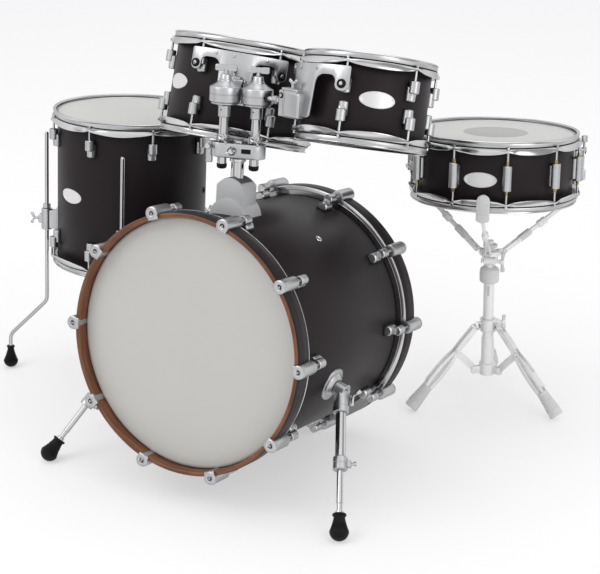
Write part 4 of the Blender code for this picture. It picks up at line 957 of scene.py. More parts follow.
def looks():
    """All finishes by their short names, made at the first call."""
    if LOOKS:
        return LOOKS
    scene = bpy.context.scene
    wrap = tuple(scene.drumkit_shells.wrap)
    LOOKS["wrap"] = finish(
        "satin_wrap", wrap, tuple(value * 1.35 for value in wrap), 0.42, smudge=5.0, grain=1400.0,
        bump=0.035, specular=0.16,
    )
    LOOKS["maple"] = finish(
        "bare_ply", tuple(scene.drumkit_shells.inside), (0.55, 0.36, 0.2), 0.62, smudge=9.0, grain=320.0,
        bump=0.1,
    )
    LOOKS["hoop"] = wood(
        tuple(scene.drumkit_bass.wood_dark), tuple(scene.drumkit_bass.wood_light), 0.38, bass_frame(),
    )
    # bright plating: its grey rings by facing angle are painted reflections, not the plating's colour
    LOOKS["chrome"] = finish(
        "bright_plating", (0.8, 0.8, 0.81), (0.7, 0.7, 0.72), 0.16, metallic=1.0, smudge=26.0,
        grain=700.0, bump=0.012,
        painted_reflections=((0.0, 0.78), (0.07, 0.95), (0.14, 0.4), (0.24, 0.34), (0.34, 0.92), (0.6, 0.72), (0.8, 0.36),
               (1.0, 0.55)),
    )
    # satin plating: its grey rings by facing angle are painted reflections, not the plating's colour
    LOOKS["satin"] = finish(
        "satin_plating", (0.6, 0.605, 0.62), (0.5, 0.505, 0.52), 0.33, metallic=1.0, variation=0.12,
        smudge=40.0,
        grain=1500.0, bump=0.05,
        painted_reflections=((0.0, 0.95), (0.12, 1.0), (0.3, 0.72), (0.45, 0.95), (0.75, 0.62), (1.0, 0.35)),
    )
    LOOKS["grip"] = finish(
        "textured_top", (0.075, 0.075, 0.078), (0.13, 0.13, 0.135), 0.55, metallic=0.4, smudge=60.0, bump=0.9,
    )
    # a darker copy of the rim's plating for its upright wall: painted shade, with its own painted reflections
    LOOKS["rim_wall_painted_shade"] = finish(
        "rim_wall_painted_shade_plating", (0.64, 0.645, 0.655), (0.52, 0.525, 0.535), 0.34, metallic=1.0, variation=0.14,
        smudge=30.0, grain=1200.0, bump=0.03,
        painted_reflections=((0.0, 0.8), (0.18, 1.0), (0.34, 0.74), (0.55, 0.95), (0.8, 0.66), (1.0, 0.5)),
    )
    LOOKS["badge"] = finish(
        "badge_metal", (0.74, 0.74, 0.75), (0.66, 0.66, 0.67), 0.34, metallic=0.55, smudge=60.0,
        grain=1600.0, bump=0.04,
    )
    LOOKS["cast"] = finish(
        "painted_casting", (0.47, 0.475, 0.49), (0.42, 0.425, 0.44), 0.42, metallic=0.15, smudge=30.0,
        grain=1900.0, bump=0.1,
    )
    # pale metal: its grey rings by facing angle are painted reflections, not the metal's colour
    LOOKS["pale"] = finish(
        "pale_metal", (0.9, 0.9, 0.9), (0.84, 0.84, 0.85), 0.34, smudge=24.0, bump=0.02,
        specular=0.6, painted_reflections=((0.0, 1.0), (0.15, 0.97), (0.35, 0.8), (0.55, 0.96), (1.0, 0.78)),
    )
    LOOKS["pale_rubber"] = finish(
        "pale_rubber", (0.66, 0.66, 0.66), (0.61, 0.61, 0.61), 0.7, smudge=40.0, grain=1600.0, bump=0.15,
        specular=0.2,
    )
    LOOKS["brass"] = finish(
        "brass_nut", (0.46, 0.36, 0.17), (0.36, 0.27, 0.12), 0.3, metallic=1.0, smudge=60.0, grain=1200.0,
        bump=0.03,
    )
    LOOKS["rubber"] = finish(
        "black_rubber", (0.006, 0.006, 0.0065), (0.01, 0.01, 0.011), 0.5, smudge=40.0, grain=1600.0,
        bump=0.15,
        specular=0.12,
    )
    LOOKS["bass_head"] = finish(
        "bass_skin", (0.51, 0.505, 0.485), (0.465, 0.46, 0.44), 0.42, variation=0.12, smudge=3.0,
        grain=1100.0,
        bump=0.05,
    )
    LOOKS["coated_head"] = finish(
        "coated_skin", (0.56, 0.555, 0.54), (0.51, 0.505, 0.49), 0.62, smudge=7.0, grain=1500.0, bump=0.22,
    )
    LOOKS["dot"] = finish(
        "skin_dot", (0.38, 0.38, 0.375), (0.34, 0.34, 0.335), 0.5, smudge=12.0, grain=1500.0, bump=0.1,
    )
    LOOKS["clear_head"] = finish(
        "clear_skin", (0.62, 0.62, 0.6), (0.54, 0.54, 0.53), 0.16, variation=0.08, smudge=6.0, bump=0.03,
        alpha=0.55,
    )
    LOOKS["wires"] = finish(
        "snare_wire", (0.7, 0.7, 0.7), (0.6, 0.6, 0.6), 0.22, metallic=1.0, smudge=80.0, grain=2200.0,
        bump=0.1,
    )
    return LOOKS


def report_done(operator, made):
    """Finish an operator's run, or stop where nothing was made."""
    if not made:
        raise RuntimeError(f"{operator.bl_label} made no pieces")
    return {"FINISHED"}


class DRUMKIT_OT_small_drums(bpy.types.Operator):
    """Dress the two toms, the floor tom and the snare drum: shells, heads, rims, rods and lugs"""

    bl_idname = "drumkit.small_drums"
    bl_label = "Small drums"

    def execute(self, context):
        rims, sizes = context.scene.drumkit_rims, context.scene.drumkit_lugs
        made = []
        for name, (wide, depth, count, _) in TOMS.items():
            radius, total, body, snare = wide / 2, drum_total(depth), BODY_OF[name], name == "snare"
            seat = drum_frame(name)
            below = seat @ at(z=-total) @ turn(180, "X")
            shell = shell_with_edges(radius, -SHELL_DROP, -total + SHELL_DROP)
            made.append(dressed(f"{name}_wrap", shell, body, "black_shell", f"{name}_shell", place=seat))
            for end, place, rim in (("upper", seat, "top_rim"), ("lower", below, "bottom_rim")):
                hoop = pressed_rim(radius, count, rims)
                made.append(dressed(f"{name}_{end}_hoop", hoop, body, "chrome", f"{name}_{rim}", place=place))
                places = [place @ spin for spin in around(count)]
                low = -total / 2 + sizes.tube_lug / 2 if snare else -0.05
                rods = copies(tension_rod(radius, low), places)
                made.append(dressed(f"{name}_{end}_rods", rods, body, "chrome"))
                if not snare:
                    lugs = copies(barrel_lug(radius, sizes), places)
                    made.append(dressed(f"{name}_{end}_lugs", lugs, body, "chrome"))
            if snare:
                lugs = copies(tube_lug(radius, total, sizes), [seat @ spin for spin in around(count)])
                made.append(dressed("snare_lugs", lugs, body, "chrome"))
            head = drum_head(radius, "coated_head", (0.073, "dot") if snare else None)
            made.append(dressed(f"{name}_upper_skin", head, body, "batter_head", f"{name}_batter_head",
                                place=seat))
            head = drum_head(radius, "clear_head")
            made.append(dressed(f"{name}_lower_skin", head, body, "clear_head", f"{name}_resonant_head",
                                place=below))
        return report_done(self, made)


class DRUMKIT_OT_bass_drum(bpy.types.Operator):
    """Dress the bass drum: shell, heads, hoops, claws, rods and lugs"""

    bl_idname = "drumkit.bass_drum"
    bl_label = "Bass drum"

    def execute(self, context):
        sizes = context.scene.drumkit_bass
        front = bass_frame()
        rear = front @ at(z=BASS_LENGTH) @ turn(180, "Y")
        shell = shell_with_edges(BASS_RADIUS, BASS_LENGTH - BASS_SHELL_IN, BASS_SHELL_IN, 160)
        made = [dressed("bass_wrap", shell, "kit", "black_shell", "bass_shell", place=front)]
        for end, place in (("front", front), ("rear", rear)):
            hoop = bass_hoop(sizes)
            made.append(dressed(f"bass_{end}_hoop", hoop, "kit", "hoop_wood", f"bass_hoop_{end}",
                                place=place))
            claws = copies(bass_claw(sizes), [place @ turn(90) @ spin for spin in around(BASS_LUGS, 0.5)])
            made.append(dressed(f"bass_{end}_claws", claws, "kit", "chrome"))
            made.append(dressed(f"bass_{end}_skin", bass_skin(), "kit", "bass_head", f"bass_head_{end}",
                                place=place))
        return report_done(self, made)


# Tom holder


def front_of(distance, height, x=0.0):
    """A frame towards the audience: Z is -Y, X stays, this far from the Z axis and at this height."""
    return at(x, -distance, height) @ turn(90, "X")


def mount_base(sizes):
    """The casting on the bass drum: a block with a crowned top, textured dark, over a half-round saddle."""
    half, deep, high = sizes.base_wide / 2, sizes.base_deep, sizes.base_high
    crown = [(half * (12 - step) / 12, high - 0.017 * ((12 - step) / 12) ** 2) for step in range(25)]
    body = plate([(-half, -0.014), (half, -0.014)] + crown, deep, "cast", 0.0018)
    placed(body, at(y=deep / 2) @ turn(90, "X"))
    round_top = arc(0.0452, 0.046, range(0, 181, 6), up=-0.012)
    saddle = plate([(0.0452, -0.02)] + round_top + [(-0.0452, -0.02)], 0.068, "cast", 0.002)
    placed(saddle, at(y=0.034) @ turn(90, "X"))
    outline = [(x, z + 0.0008) for x, z in crown[3:-3]] + [(x, z - 0.004) for x, z in crown[-4:2:-1]]
    grip = placed(plate(outline, deep - 0.009, "grip", 0.0003), at(y=deep / 2 - 0.0045) @ turn(90, "X"))
    wing = placed(wing_bolt(0.034, 0.016), turn(180) @ front_of(deep / 2, high / 2))
    pad = block((0.093, 0.07, 0.012), (0, 0, -0.0165), "rubber", 0.003, 3)
    return joined("tom_mount_casting", body, saddle, grip, wing, pad)


def post(top):
    """The plated post with its stop ring."""
    return turned(mm([
        (0, -74.5), (12.5, -74.5), (13.5, -73.5), (13.5, 108), (15, 108.6), (17.2, 109), (17.5, 110.2),
        (17.5, 114.6), (16.6, 115.6), (13.5, 116),
    ]) + mm([(13.5, 4.2), (12.4, 5.6), (0, 6)], up=top), "chrome", 64)


def holder_block(sizes):
    """The stadium block that carries both arms, with its front slot, key bolt and hinge barrel."""
    half, deep, low = sizes.block_half, 0.024, BLOCK_TOP - 0.031
    straight = half - deep
    outline = arc(deep, deep, range(-90, 91, 9), out=straight)
    outline += [(-x, -y) for x, y in outline]
    body = placed(plate(outline, 0.031, "satin", 0.0024, 30), at(z=low))
    # the slot is a black block in a raised frame: painted shade for the opening
    slot = block((0.0205, 0.003, 0.01), (0.021, -deep + 0.0008, low + 0.0165), "rubber", 0.0008, 2)
    frame_up = block((0.025, 0.0026, 0.014), (0.021, -deep + 0.001, low + 0.0165), "satin", 0.0012, 2)
    boss = placed(turned(mm([
        (10, -4), (10, 3), (8.6, 4.4), (5.2, 4.6), (4.8, 11), (3.6, 12), (0, 12),
    ]), "chrome", 32), front_of(deep, low + 0.0155, -0.009))
    cup = placed(turned(mm([
        (6, 4), (8.6, 4), (8, 5), (6.2, 5),
    ]), "rubber", 32, ring=True), front_of(deep, low + 0.0155, -0.009))
    key = placed(wing_bolt(0.026, 0.01, 0.011), front_of(deep, low + 0.0155, -0.009) @ turn(20))
    barrel = placed(turned(mm([
        (0, -14), (6.4, -14), (7.4, -13), (7.4, 30), (6.4, 31), (0, 31),
    ], up=low), "satin", 32), at(x=-half - 0.003, y=-0.004))
    bolt = placed(turned(mm([
        (0, -20), (3.2, -20), (3.2, 8), (5.6, 8.4), (6, 14), (4.8, 15.6), (0, 15.8),
    ]), "chrome", 24), front_of(0.008, low + 0.021, -half - 0.003))
    return joined("tom_clamp_casting", body, frame_up, slot, boss, cup, key, barrel, bolt)


def holder_arm(block_top, ball, rod_turn, wing_turn):
    """One arm: tube, black cap, memory lock, sleeve, ball housing with its side mouth, and its T-handle."""
    tube_piece = turned([
        (0.0, 0.0985), (0.0098, 0.0985), (0.0098, ball - 0.046), (0.0, ball - 0.046),
    ], "chrome", 48)
    cap = turned(mm([
        (0, 90.6), (6, 90.8), (9.2, 92.2), (10.6, 95), (10.8, 101), (10.4, 101.8), (0, 101.8),
    ]), "rubber", 40)
    low = block_top + 0.0004
    lock = turned(mm([
        (0, 0), (13.6, 0), (14.2, 1), (14.2, 5.2), (13, 6), (13, 7.2), (14.2, 8), (14.2, 12.8), (13.4, 14),
        (0, 14),
    ], up=low), "satin", 48)
    ear = block((0.009, 0.013, 0.0118), (0, -0.016, low + 0.007), "satin", 0.0016, 3)
    split = block((0.0012, 0.014, 0.0122), (0, -0.0166, low + 0.007), "rubber", 0.0002, 1)
    wing = placed(wing_bolt(0.022, 0.012, 0.01), at(x=0.004, y=-0.018, z=low + 0.007) @ turn(90, "Y"))
    sleeve = turned(mm([
        (0, -48), (11.8, -48), (12.8, -46.8), (12.8, -25), (14, -23.6), (15, -21.4), (0, -21.4),
    ], up=ball), "satin", 48)
    # a black disc stands for a small hole in the sleeve: painted shade
    hole = placed(turned(mm([
        (0, -1), (1.6, -1), (1.6, 0.3), (0, 0.3),
    ]), "rubber", 16), front_of(0.0128, ball - 0.033))
    housing = turned(mm([
        (0, -21.5), (27, -21.5), (28.6, -20.4), (28.6, -18), (27.6, -17.2), (27.6, -16.6), (31.2, -16.2),
        (32.2, -15.2), (32.5, -13), (32.5, -1), (31.8, -0.6), (31.8, 0.2), (32.5, 0.6), (32.5, 13.6),
        (31.8, 15), (30, 16), (28.5, 16.6), (23, 19.6), (17, 24), (14.2, 26.2), (13.6, 29), (12.2, 30),
        (10.4, 38.8), (9.8, 40), (6, 40.2), (4.6, 41), (4.2, 50), (4.2, 58), (3, 58.8), (0, 58.8),
    ], up=ball), "satin", 72)
    handle = mm([
        (-23, -4), (-21.5, -6.8), (-8, -6.8), (0, -3.4), (8, -6.8), (21.5, -6.8), (23, -4), (23, 4),
        (21.5, 6.6), (10, 6.6), (0, 4), (-10, 6.6), (-21.5, 6.6), (-23, 4),
    ])
    lie = at(z=ball + 0.053) @ turn(wing_turn) @ at(y=0.0043) @ turn(90, "X")
    grip = placed(plate(handle, 0.0086, "satin", 0.0018), lie)
    mouth = placed(turned(mm([
        (0, -3), (7.8, -3), (8.2, 0), (9, 1), (9, 2.2), (7.6, 3), (7, 1.2), (6.6, -2), (0, -2),
    ]), "rubber", 32), rod_turn @ at(x=0.0318, z=ball) @ turn(90, "Y"))
    flange_screws = copies(slotted_screw("chrome", 0.0028), [
        turn(angle) @ at(x=0.0222, z=ball - 0.0212) @ turn(180, "X") for angle in (30, 150, 270)
    ])
    return joined(
        "arm", tube_piece, cap, lock, ear, split, wing, sleeve, hole, housing, grip, mouth, flange_screws,
    )


def stem(clamp, end):
    """The level rod from the ball to the tom's clamp, with a hexagonal collar before the clamp."""
    rod = turned([(0.0, 0.0), (0.0052, 0.0), (0.0052, end - 0.0016), (0.004, end), (0.0, end)], "chrome", 32)
    ball = turned(arc(0.0149, 0.0149, range(-90, 91, 12)), "chrome", 40)
    parts = [rod, ball]
    room = clamp - 0.033
    if room > 0.02:
        middle = 0.035 + room / 2
        parts.append(turned(mm([
            (0, -7), (7.8, -7), (9, -5.8), (9, 5), (7.8, 6.2), (0, 6.2),
        ], up=middle), "satin", 6, smooth=20))
        parts.append(turned(mm([
            (0, 6.2), (6.4, 6.2), (7, 11), (6, 12.2), (0, 12.2),
        ], up=middle), "chrome", 24))
    return placed(joined("stem", parts), turn(90, "Y"))


BRACKETS = {
    "left": {
        "outline": mm([
            (-106, -32), (-106, -79), (-82, -79), (-82, -50), (-40, -50), (-36, -141), (30, -141), (34, -50),
            (82, -50), (82, -79), (106, -79), (106, -32),
        ]),
        "corners": [0.004, 0.011, 0.011, 0.013, 0.016, 0.006, 0.006, 0.016, 0.013, 0.011, 0.011, 0.004],
        "grommets": mm([(-94, -66), (94, -66)]),
        "screws": mm([(-50, -40), (-12, -41), (58, -40)]),
    },
    "right": {
        "outline": mm([
            (-52, -32), (-52, -52), (-26, -56), (-26, -141), (50, -141), (56, -52), (104, -52), (100, -82),
            (132, -82), (132, -32),
        ]),
        "corners": [0.004, 0.006, 0.004, 0.006, 0.008, 0.022, 0.016, 0.012, 0.012, 0.004],
        "grommets": [(0.116, -0.068)],
        "screws": mm([(-30, -41), (4, -41), (56, -42)]),
    },
}


def tom_bracket(radius, shape):
    """A cast band bent round the tom's lugs, with its arms, grommets and screws."""
    inner, thick = radius + 0.0233, 0.0044
    made = [curved_plate(rounded(shape["outline"], shape["corners"]), thick, inner, 0.001, 24)]
    out = inner + thick
    for along, height in shape["grommets"]:
        place = flush_on(out, math.degrees(along / inner), height)
        made.append(placed(turned(mm([
            (0, -7.5), (7, -7.5), (9.4, -6), (9.4, 1.4), (8.6, 3.2), (6.2, 3.8), (0, 3.4),
        ]), "rubber", 32), place))
        made.append(placed(slotted_screw("chrome", 0.004), place @ at(z=0.0036)))
    for along, height in shape["screws"]:
        made.append(placed(slotted_screw("chrome", 0.0036), flush_on(out, math.degrees(along / inner), height)))
    return made


class DRUMKIT_OT_tom_holder(bpy.types.Operator):
    """Dress the tom holder: casting, post, clamp block, arms, ball rods and the toms' brackets"""

    bl_idname = "drumkit.tom_holder"
    bl_label = "Tom holder"

    def execute(self, context):
        sizes = context.scene.drumkit_holder
        seat = frame_on(joint_point("tom_block_swivel"), joint_axis("tom_block_swivel"))
        made = [
            dressed("tom_mount_casting", mount_base(sizes), "kit", "cast_metal", "tom_mount_base",
                    place=seat),
            dressed("tom_post_tube", post(BLOCK_TOP), "tom_post", "chrome", "tom_post", place=seat),
            dressed("tom_clamp_casting", holder_block(sizes), "tom_block", "cast_metal", "tom_clamp_block",
                    place=seat @ turn(BLOCK_TURN)),
        ]
        for side in ("left", "right"):
            swivel = joint_axis(f"tom_arm_{side}_swivel")
            arm_seat = frame_on(joint_point(f"tom_arm_{side}_swivel"), swivel)
            ball = joint_point(f"tom_rod_{side}_tilt")
            tilt = frame_on(ball, swivel, joint_axis(f"tom_{side}_slide"))
            rod_turn = (arm_seat.inverted() @ tilt).to_3x3().to_4x4()
            arm = holder_arm(BLOCK_TOP, (ball - arm_seat.translation).length, rod_turn, BLOCK_TURN)
            node = f"tom_arm_{side}"
            made.append(dressed(f"tom_holder_arm_{side}", arm, node, "chrome", node, place=arm_seat))
            radius, first = TOMS[f"tom_{side}"][0] / 2, TOMS[f"tom_{side}"][3]
            band = drum_frame(f"tom_{side}") @ turn(BRACKET_AT[side] - first)
            clamp_at = band @ Vector((radius + CLAMP_OFF, 0, 0)) - ball
            up, level = band.col[2].xyz, tilt.col[2].xyz
            clamp_at -= up * clamp_at.dot(level) / up.dot(level)
            reach, size = clamp_at.length, CLAMP_SIZE[side]
            node = f"tom_rod_{side}"
            rod = stem(reach - size[0] / 2, reach + size[0] / 2 + 0.004)
            made.append(dressed(f"tom_ball_rod_{side}", rod, node, "chrome", node, place=tilt))
            parts = [placed(item, band) for item in tom_bracket(radius, BRACKETS[side])]
            parts.append(placed(clamp_box(size), tilt @ at(x=reach)))
            made.append(dressed(f"tom_bracket_casting_{side}", parts, f"tom_{side}", "chrome",
                                f"tom_bracket_{side}"))
        return report_done(self, made)


# Spurs


def on_bass(around, along):
    """A frame on the bass drum's shell: Z out of it, X along it towards the drummer."""
    side = turn(around) @ Vector((0, 1, 0))
    return bass_frame() @ frame_on(side * BASS_RADIUS + Vector((0, 0, along)), side, (0, 0, 1))


def spur_carrier(axis_in_leg):
    """The swinging part of a spur along +Z: knuckle, neck, tube and its satin collar."""
    knuckle = turned(mm([
        (0, -11.8), (16.2, -11.8), (17.4, -10.6), (17.4, 10.6), (16.2, 11.8), (0, 11.8),
    ]), "satin", 48)
    placed(knuckle, frame_on((0, 0, 0), axis_in_leg, (0, 0, 1)))
    neck = turned(mm([(0, 6), (15, 6), (15.4, 24), (15, 42), (13.8, 43.6), (0, 43.6)]), "satin", 48)
    clamp_ring = turned(mm([(0, 37), (16, 37), (16.8, 38), (16.8, 50), (15.8, 51.2), (0, 51.2)]), "satin", 48)
    body = turned(mm([(0, 40), (10.7, 40), (10.7, 152), (0, 152)]), "chrome", 48)
    collar = turned(mm([
        (0, 148), (13.8, 148), (15, 149.2), (15, 160), (14.2, 160.8), (14.2, 162.2), (15, 163), (15, 174.4),
        (13.6, 175.8), (0, 175.8),
    ]), "satin", 48)
    ear = block((0.014, 0.012, 0.015), (-0.015, 0.004, 0.162), "satin", 0.0022, 3)
    bolt = placed(turned(mm([
        (0, -4), (3, -4), (3, 8), (5, 8.4), (5, 12.4), (0, 12.6),
    ]), "chrome", 20), at(x=-0.02, y=0.004, z=0.162) @ turn(-90, "Y"))
    return joined("carrier", knuckle, neck, clamp_ring, body, collar, ear, bolt)


def spur_leg(reach, fall):
    """The sliding rod along +Z with its spindle and rubber foot, whose round sole meets the floor at reach."""
    radius, length = 0.02, 0.056
    low = reach - radius / fall + radius - length
    rod = turned([
        (0.0, 0.122), (0.0068, 0.122), (0.0068, low - 0.022), (0.0058, low - 0.021), (0.0058, low - 0.006),
        (0.0084, low - 0.005), (0.0084, low + 0.001), (0.0, low + 0.001),
    ], "chrome", 40)
    foot = placed(rubber_foot(radius, length, 0.0118), at(z=low))
    return joined("leg", rod, foot)


class DRUMKIT_OT_spurs(bpy.types.Operator):
    """Dress the bass drum's two spurs: plates, swinging tubes, rods and rubber feet"""

    bl_idname = "drumkit.spurs"
    bl_label = "Spurs"

    def execute(self, context):
        made = []
        for side, sign in (("left", -1), ("right", 1)):
            mount = on_bass(sign * SPUR_AT[0], SPUR_AT[1])
            plate_piece = placed(domed_plate(0.036, 0.037), mount)
            pin = placed(turned(mm([
                (0, 8), (4, 8), (4, 37.2), (7, 37.4), (7.4, 38.4), (7.4, 40.4), (6.4, 41.4), (0, 41.6),
            ]), "chrome", 32), mount)
            wing = placed(wing_bolt(0.042, 0.02, 0.012), mount @ at(z=0.04) @ turn(60))
            seats = [mount @ at(x, 0.0, -0.0005) for x in (-0.03, 0.03)]
            screws = copies(slotted_screw("chrome", 0.003), seats)
            parts = [plate_piece, pin, wing, *screws]
            made.append(dressed(f"spur_plate_{side}", parts, "kit", "chrome", f"spur_bracket_{side}"))
            pivot, hinge = joint_point(f"spur_{side}_hinge"), joint_axis(f"spur_{side}_hinge")
            way = joint_axis(f"spur_{side}_slide")
            leg_seat = frame_on(pivot, way, hinge)
            axis_in_leg = leg_seat.inverted().to_3x3() @ hinge
            facing = at() if axis_in_leg.x > 0 else turn(180)
            carrier, node = spur_carrier(facing @ axis_in_leg), f"spur_tube_{side}"
            made.append(dressed(f"spur_carrier_{side}", carrier, node, "chrome", node,
                                place=leg_seat @ facing))
            leg, node = spur_leg(pivot.z / -way.z, -way.z), f"spur_rod_{side}"
            made.append(dressed(f"spur_leg_{side}", leg, node, "chrome", node, place=leg_seat))
        return report_done(self, made)


# Floor tom legs


FLOOR_LEG_AT = (205.0, 300.0, 72.5)
LEG_KNEE = -0.495
LEG_ANKLE = (0.093, -0.592)
LEG_SOLE = 0.018


def leg_bracket(radius):
    """A leg bracket on the shell at +X: a base plate, a rounded clamp with a cap, an eye and a wing bolt."""
    low, high = -0.318, -0.252
    base = block((0.006, 0.033, high - low), (radius + 0.002, 0, (low + high) / 2), "satin", 0.0024, 3)
    clamp = placed(turned(mm([
        (0, -26), (11.8, -26), (13.2, -24.5), (13.2, 24.5), (11.8, 26), (0, 26),
    ]), "satin", 40), at(x=radius + FLOOR_LEG_OUT, z=-0.285))
    bridge = block((0.03, 0.02, 0.046), (radius + 0.016, 0, -0.285), "satin", 0.003, 3)
    nose = block((0.016, 0.017, 0.022), (radius + 0.044, 0, -0.285), "satin", 0.0034, 3)
    wing = placed(wing_bolt(0.03, 0.015, 0.012), at(x=radius + 0.051, z=-0.285) @ turn(90, "Y"))
    collar = placed(turned(mm([
        (0, 0), (8.6, 0), (9.2, 0.8), (9.2, 9), (8.4, 10), (0, 10),
    ]), "satin", 32), at(x=radius + FLOOR_LEG_OUT, z=-0.258))
    screws = copies(slotted_screw("chrome", 0.0032), [
        at(x=radius + 0.005, z=height) @ turn(90, "Y") for height in (low + 0.007, high - 0.007)
    ])
    return joined("clamp", base, clamp, bridge, nose, wing, collar, screws)


def floor_leg(sole):
    """A floor tom leg in its slide's frame: a bent rod with a rounded top and a ribbed rubber foot."""
    knee, ankle = (0, 0, LEG_KNEE), (LEG_ANKLE[0], 0, LEG_ANKLE[1])
    route = rounded_route([(0, 0, -0.0735), knee, ankle, (sole.x, 0, sole.z + 0.02)], 0.03)
    rod = tube(route, 0.005, "chrome", 6)
    dome = placed(turned(mm([
        (0, -1), (5, -1), (4.7, 1.8), (3.4, 3.8), (0, 4.8),
    ]), "chrome", 24), at(z=-0.0735))
    foot = placed(rubber_foot(LEG_SOLE, 0.056, 0.008), at(x=sole.x, z=sole.z + 0.056) @ turn(180, "X"))
    return joined("leg", rod, dome, foot)


class DRUMKIT_OT_floor_tom_legs(bpy.types.Operator):
    """Dress the floor tom's three leg brackets and its bent legs"""

    bl_idname = "drumkit.floor_tom_legs"
    bl_label = "Floor tom legs"

    def execute(self, context):
        radius, first = TOMS["floor_tom"][0] / 2, TOMS["floor_tom"][3]
        upright = drum_frame("floor_tom") @ turn(-first)
        clamps = copies(leg_bracket(radius), [upright @ turn(angle) for angle in FLOOR_LEG_AT])
        made = [dressed("floor_tom_leg_clamps", clamps, "kit", "chrome")]
        for index, angle in enumerate(FLOOR_LEG_AT, 1):
            seat = upright @ turn(angle) @ at(x=radius + FLOOR_LEG_OUT)
            ankle = seat @ Vector((LEG_ANKLE[0], 0, LEG_ANKLE[1]))
            drop = (ankle.z - LEG_SOLE) / seat.col[2].z + LEG_SOLE
            leg, node = floor_leg(Vector((LEG_ANKLE[0], 0, LEG_ANKLE[1] - drop))), f"floor_tom_leg_{index}"
            made.append(dressed(f"floor_tom_leg_rod_{index}", leg, node, "chrome", node, place=seat))
        return report_done(self, made)


# Snare drum fittings


def thumb_screw(length=0.012, radius=0.0046):
    """A small knurled screw along +Z."""
    return turned([
        (0.0, -0.002), (0.0022, -0.002), (0.0022, length * 0.45), (radius, length * 0.5),
        (radius, length * 0.92), (radius * 0.8, length), (0.0, length),
    ], "chrome", 14, smooth=20)


def outwards_at(x, z, y=0.0):
    """A frame whose Z points away from the drum's axis."""
    return at(x, y, z) @ turn(90, "Y")


def strainer(radius):
    """The strainer on the shell at +X: base plate, case, adjusting knob on its post, lever ears and screws."""
    low, high = -0.116, -0.042
    outline = rounded([(-0.015, low), (0.015, low), (0.015, high), (-0.015, high)], 0.005)
    base = curved_plate(outline, 0.003, radius + 0.0002, 0.0008, 6)
    case = block((0.018, 0.024, 0.066), (radius + 0.011, 0, -0.079), "satin", 0.004, 4)
    face = block((0.003, 0.016, 0.048), (radius + 0.0195, 0, -0.08), "chrome", 0.0014, 3)
    cheeks = [
        block((0.012, 0.003, 0.02), (radius + 0.0245, side * 0.0101, -0.1), "satin", 0.0012, 3)
        for side in (-1, 1)
    ]
    rod = placed(turned(mm([
        (0, -50), (2.6, -50), (2.6, -29), (6.8, -28.4), (7.4, -27.4), (7.4, -24), (6.6, -23.2), (6.6, -21.6),
        (7.4, -20.8), (7.4, -15), (6.2, -13.8), (0, -13.6),
    ]), "chrome", 24, smooth=25), at(x=radius + 0.0262))
    collar = placed(turned(mm([
        (0, -52), (5.6, -52), (6, -51.2), (6, -42), (5.2, -41), (0, -41),
    ]), "satin", 28), at(x=radius + 0.0262))
    bridge = block((0.014, 0.011, 0.008), (radius + 0.02, 0, -0.0465), "satin", 0.002, 3)
    screws = [
        placed(thumb_screw(), outwards_at(radius + 0.019, -0.111, side * 0.006)) for side in (-1, 1)
    ]
    return joined("strainer", base, case, face, cheeks, rod, collar, bridge, screws)


def strainer_lever():
    """The throw-off lever in its hinge's frame: Z along the closed lever, X away from the drum."""
    outline = rounded(mm([(-7.2, -5), (7.2, -5), (8, 40), (6, 53.5), (-6, 53.5), (-8, 40)]), [
        0.004, 0.004, 0.02, 0.0055, 0.0055, 0.02,
    ])
    blade = placed(plate(outline, 0.0032, "chrome", 0.001), at(x=-0.0016) @ turn(90, "Z") @ turn(90, "X"))
    barrel = placed(turned(mm([
        (0, -8), (3.6, -8), (4, -7.4), (4, 7.4), (3.6, 8), (0, 8),
    ]), "chrome", 28), turn(90, "X"))
    pin = placed(turned(mm([(0, -11.8), (2, -11.8), (2, 11.8), (0, 11.8)]), "chrome", 20), turn(90, "X"))
    grip = block((0.005, 0.012, 0.007), (0.0022, 0, 0.048), "rubber", 0.0018, 3)
    return joined("lever", blade, barrel, pin, grip)


def butt_plate(radius):
    """The fixed end of the wires on the shell at +X: a block with its clamp plate and two screws."""
    outline = rounded(mm([(-17, -96), (17, -96), (17, -62), (-17, -62)]), 0.005)
    base = curved_plate(outline, 0.003, radius + 0.0002, 0.0008, 6)
    body = block((0.011, 0.028, 0.018), (radius + 0.008, 0, -0.084), "satin", 0.003, 4)
    clamp = block((0.003, 0.024, 0.012), (radius + 0.0135, 0, -0.087), "chrome", 0.001, 3)
    screws = [
        placed(thumb_screw(0.01, 0.004), outwards_at(radius + 0.013, -0.087, side * 0.007))
        for side in (-1, 1)
    ]
    heads = [
        placed(slotted_screw("chrome", 0.003), outwards_at(radius + 0.003, -0.0675, side * 0.009))
        for side in (-1, 1)
    ]
    return joined("butt", base, body, clamp, screws, heads)


def wire_band(under):
    """The snare wires: ten fine coils between two end plates, lying just under the lower head."""
    half, coil, turns = 0.129, 0.00062, 150
    route = [
        (-half + 2 * half * step / (turns * 6), coil * math.cos(math.tau * step / 6),
         coil * math.sin(math.tau * step / 6)) for step in range(turns * 6 + 1)
    ]
    wire = tube(route, 0.00022, "wires", 0)
    places = [at(y=(index - 4.5) * 0.0042, z=under - 0.0011) for index in range(10)]
    plates = [
        block((0.018, 0.046, 0.0013), (side * 0.1345, 0, under - 0.001), "chrome", 0.0005, 2)
        for side in (-1, 1)
    ]
    rivets = [
        placed(slotted_screw("satin", 0.0018),
               at(side * 0.137, (index - 1.5) * 0.011, under - 0.0014) @ turn(180, "X"))
        for side in (-1, 1) for index in range(4)
    ]
    return joined("wires", copies(wire, places), plates, rivets)


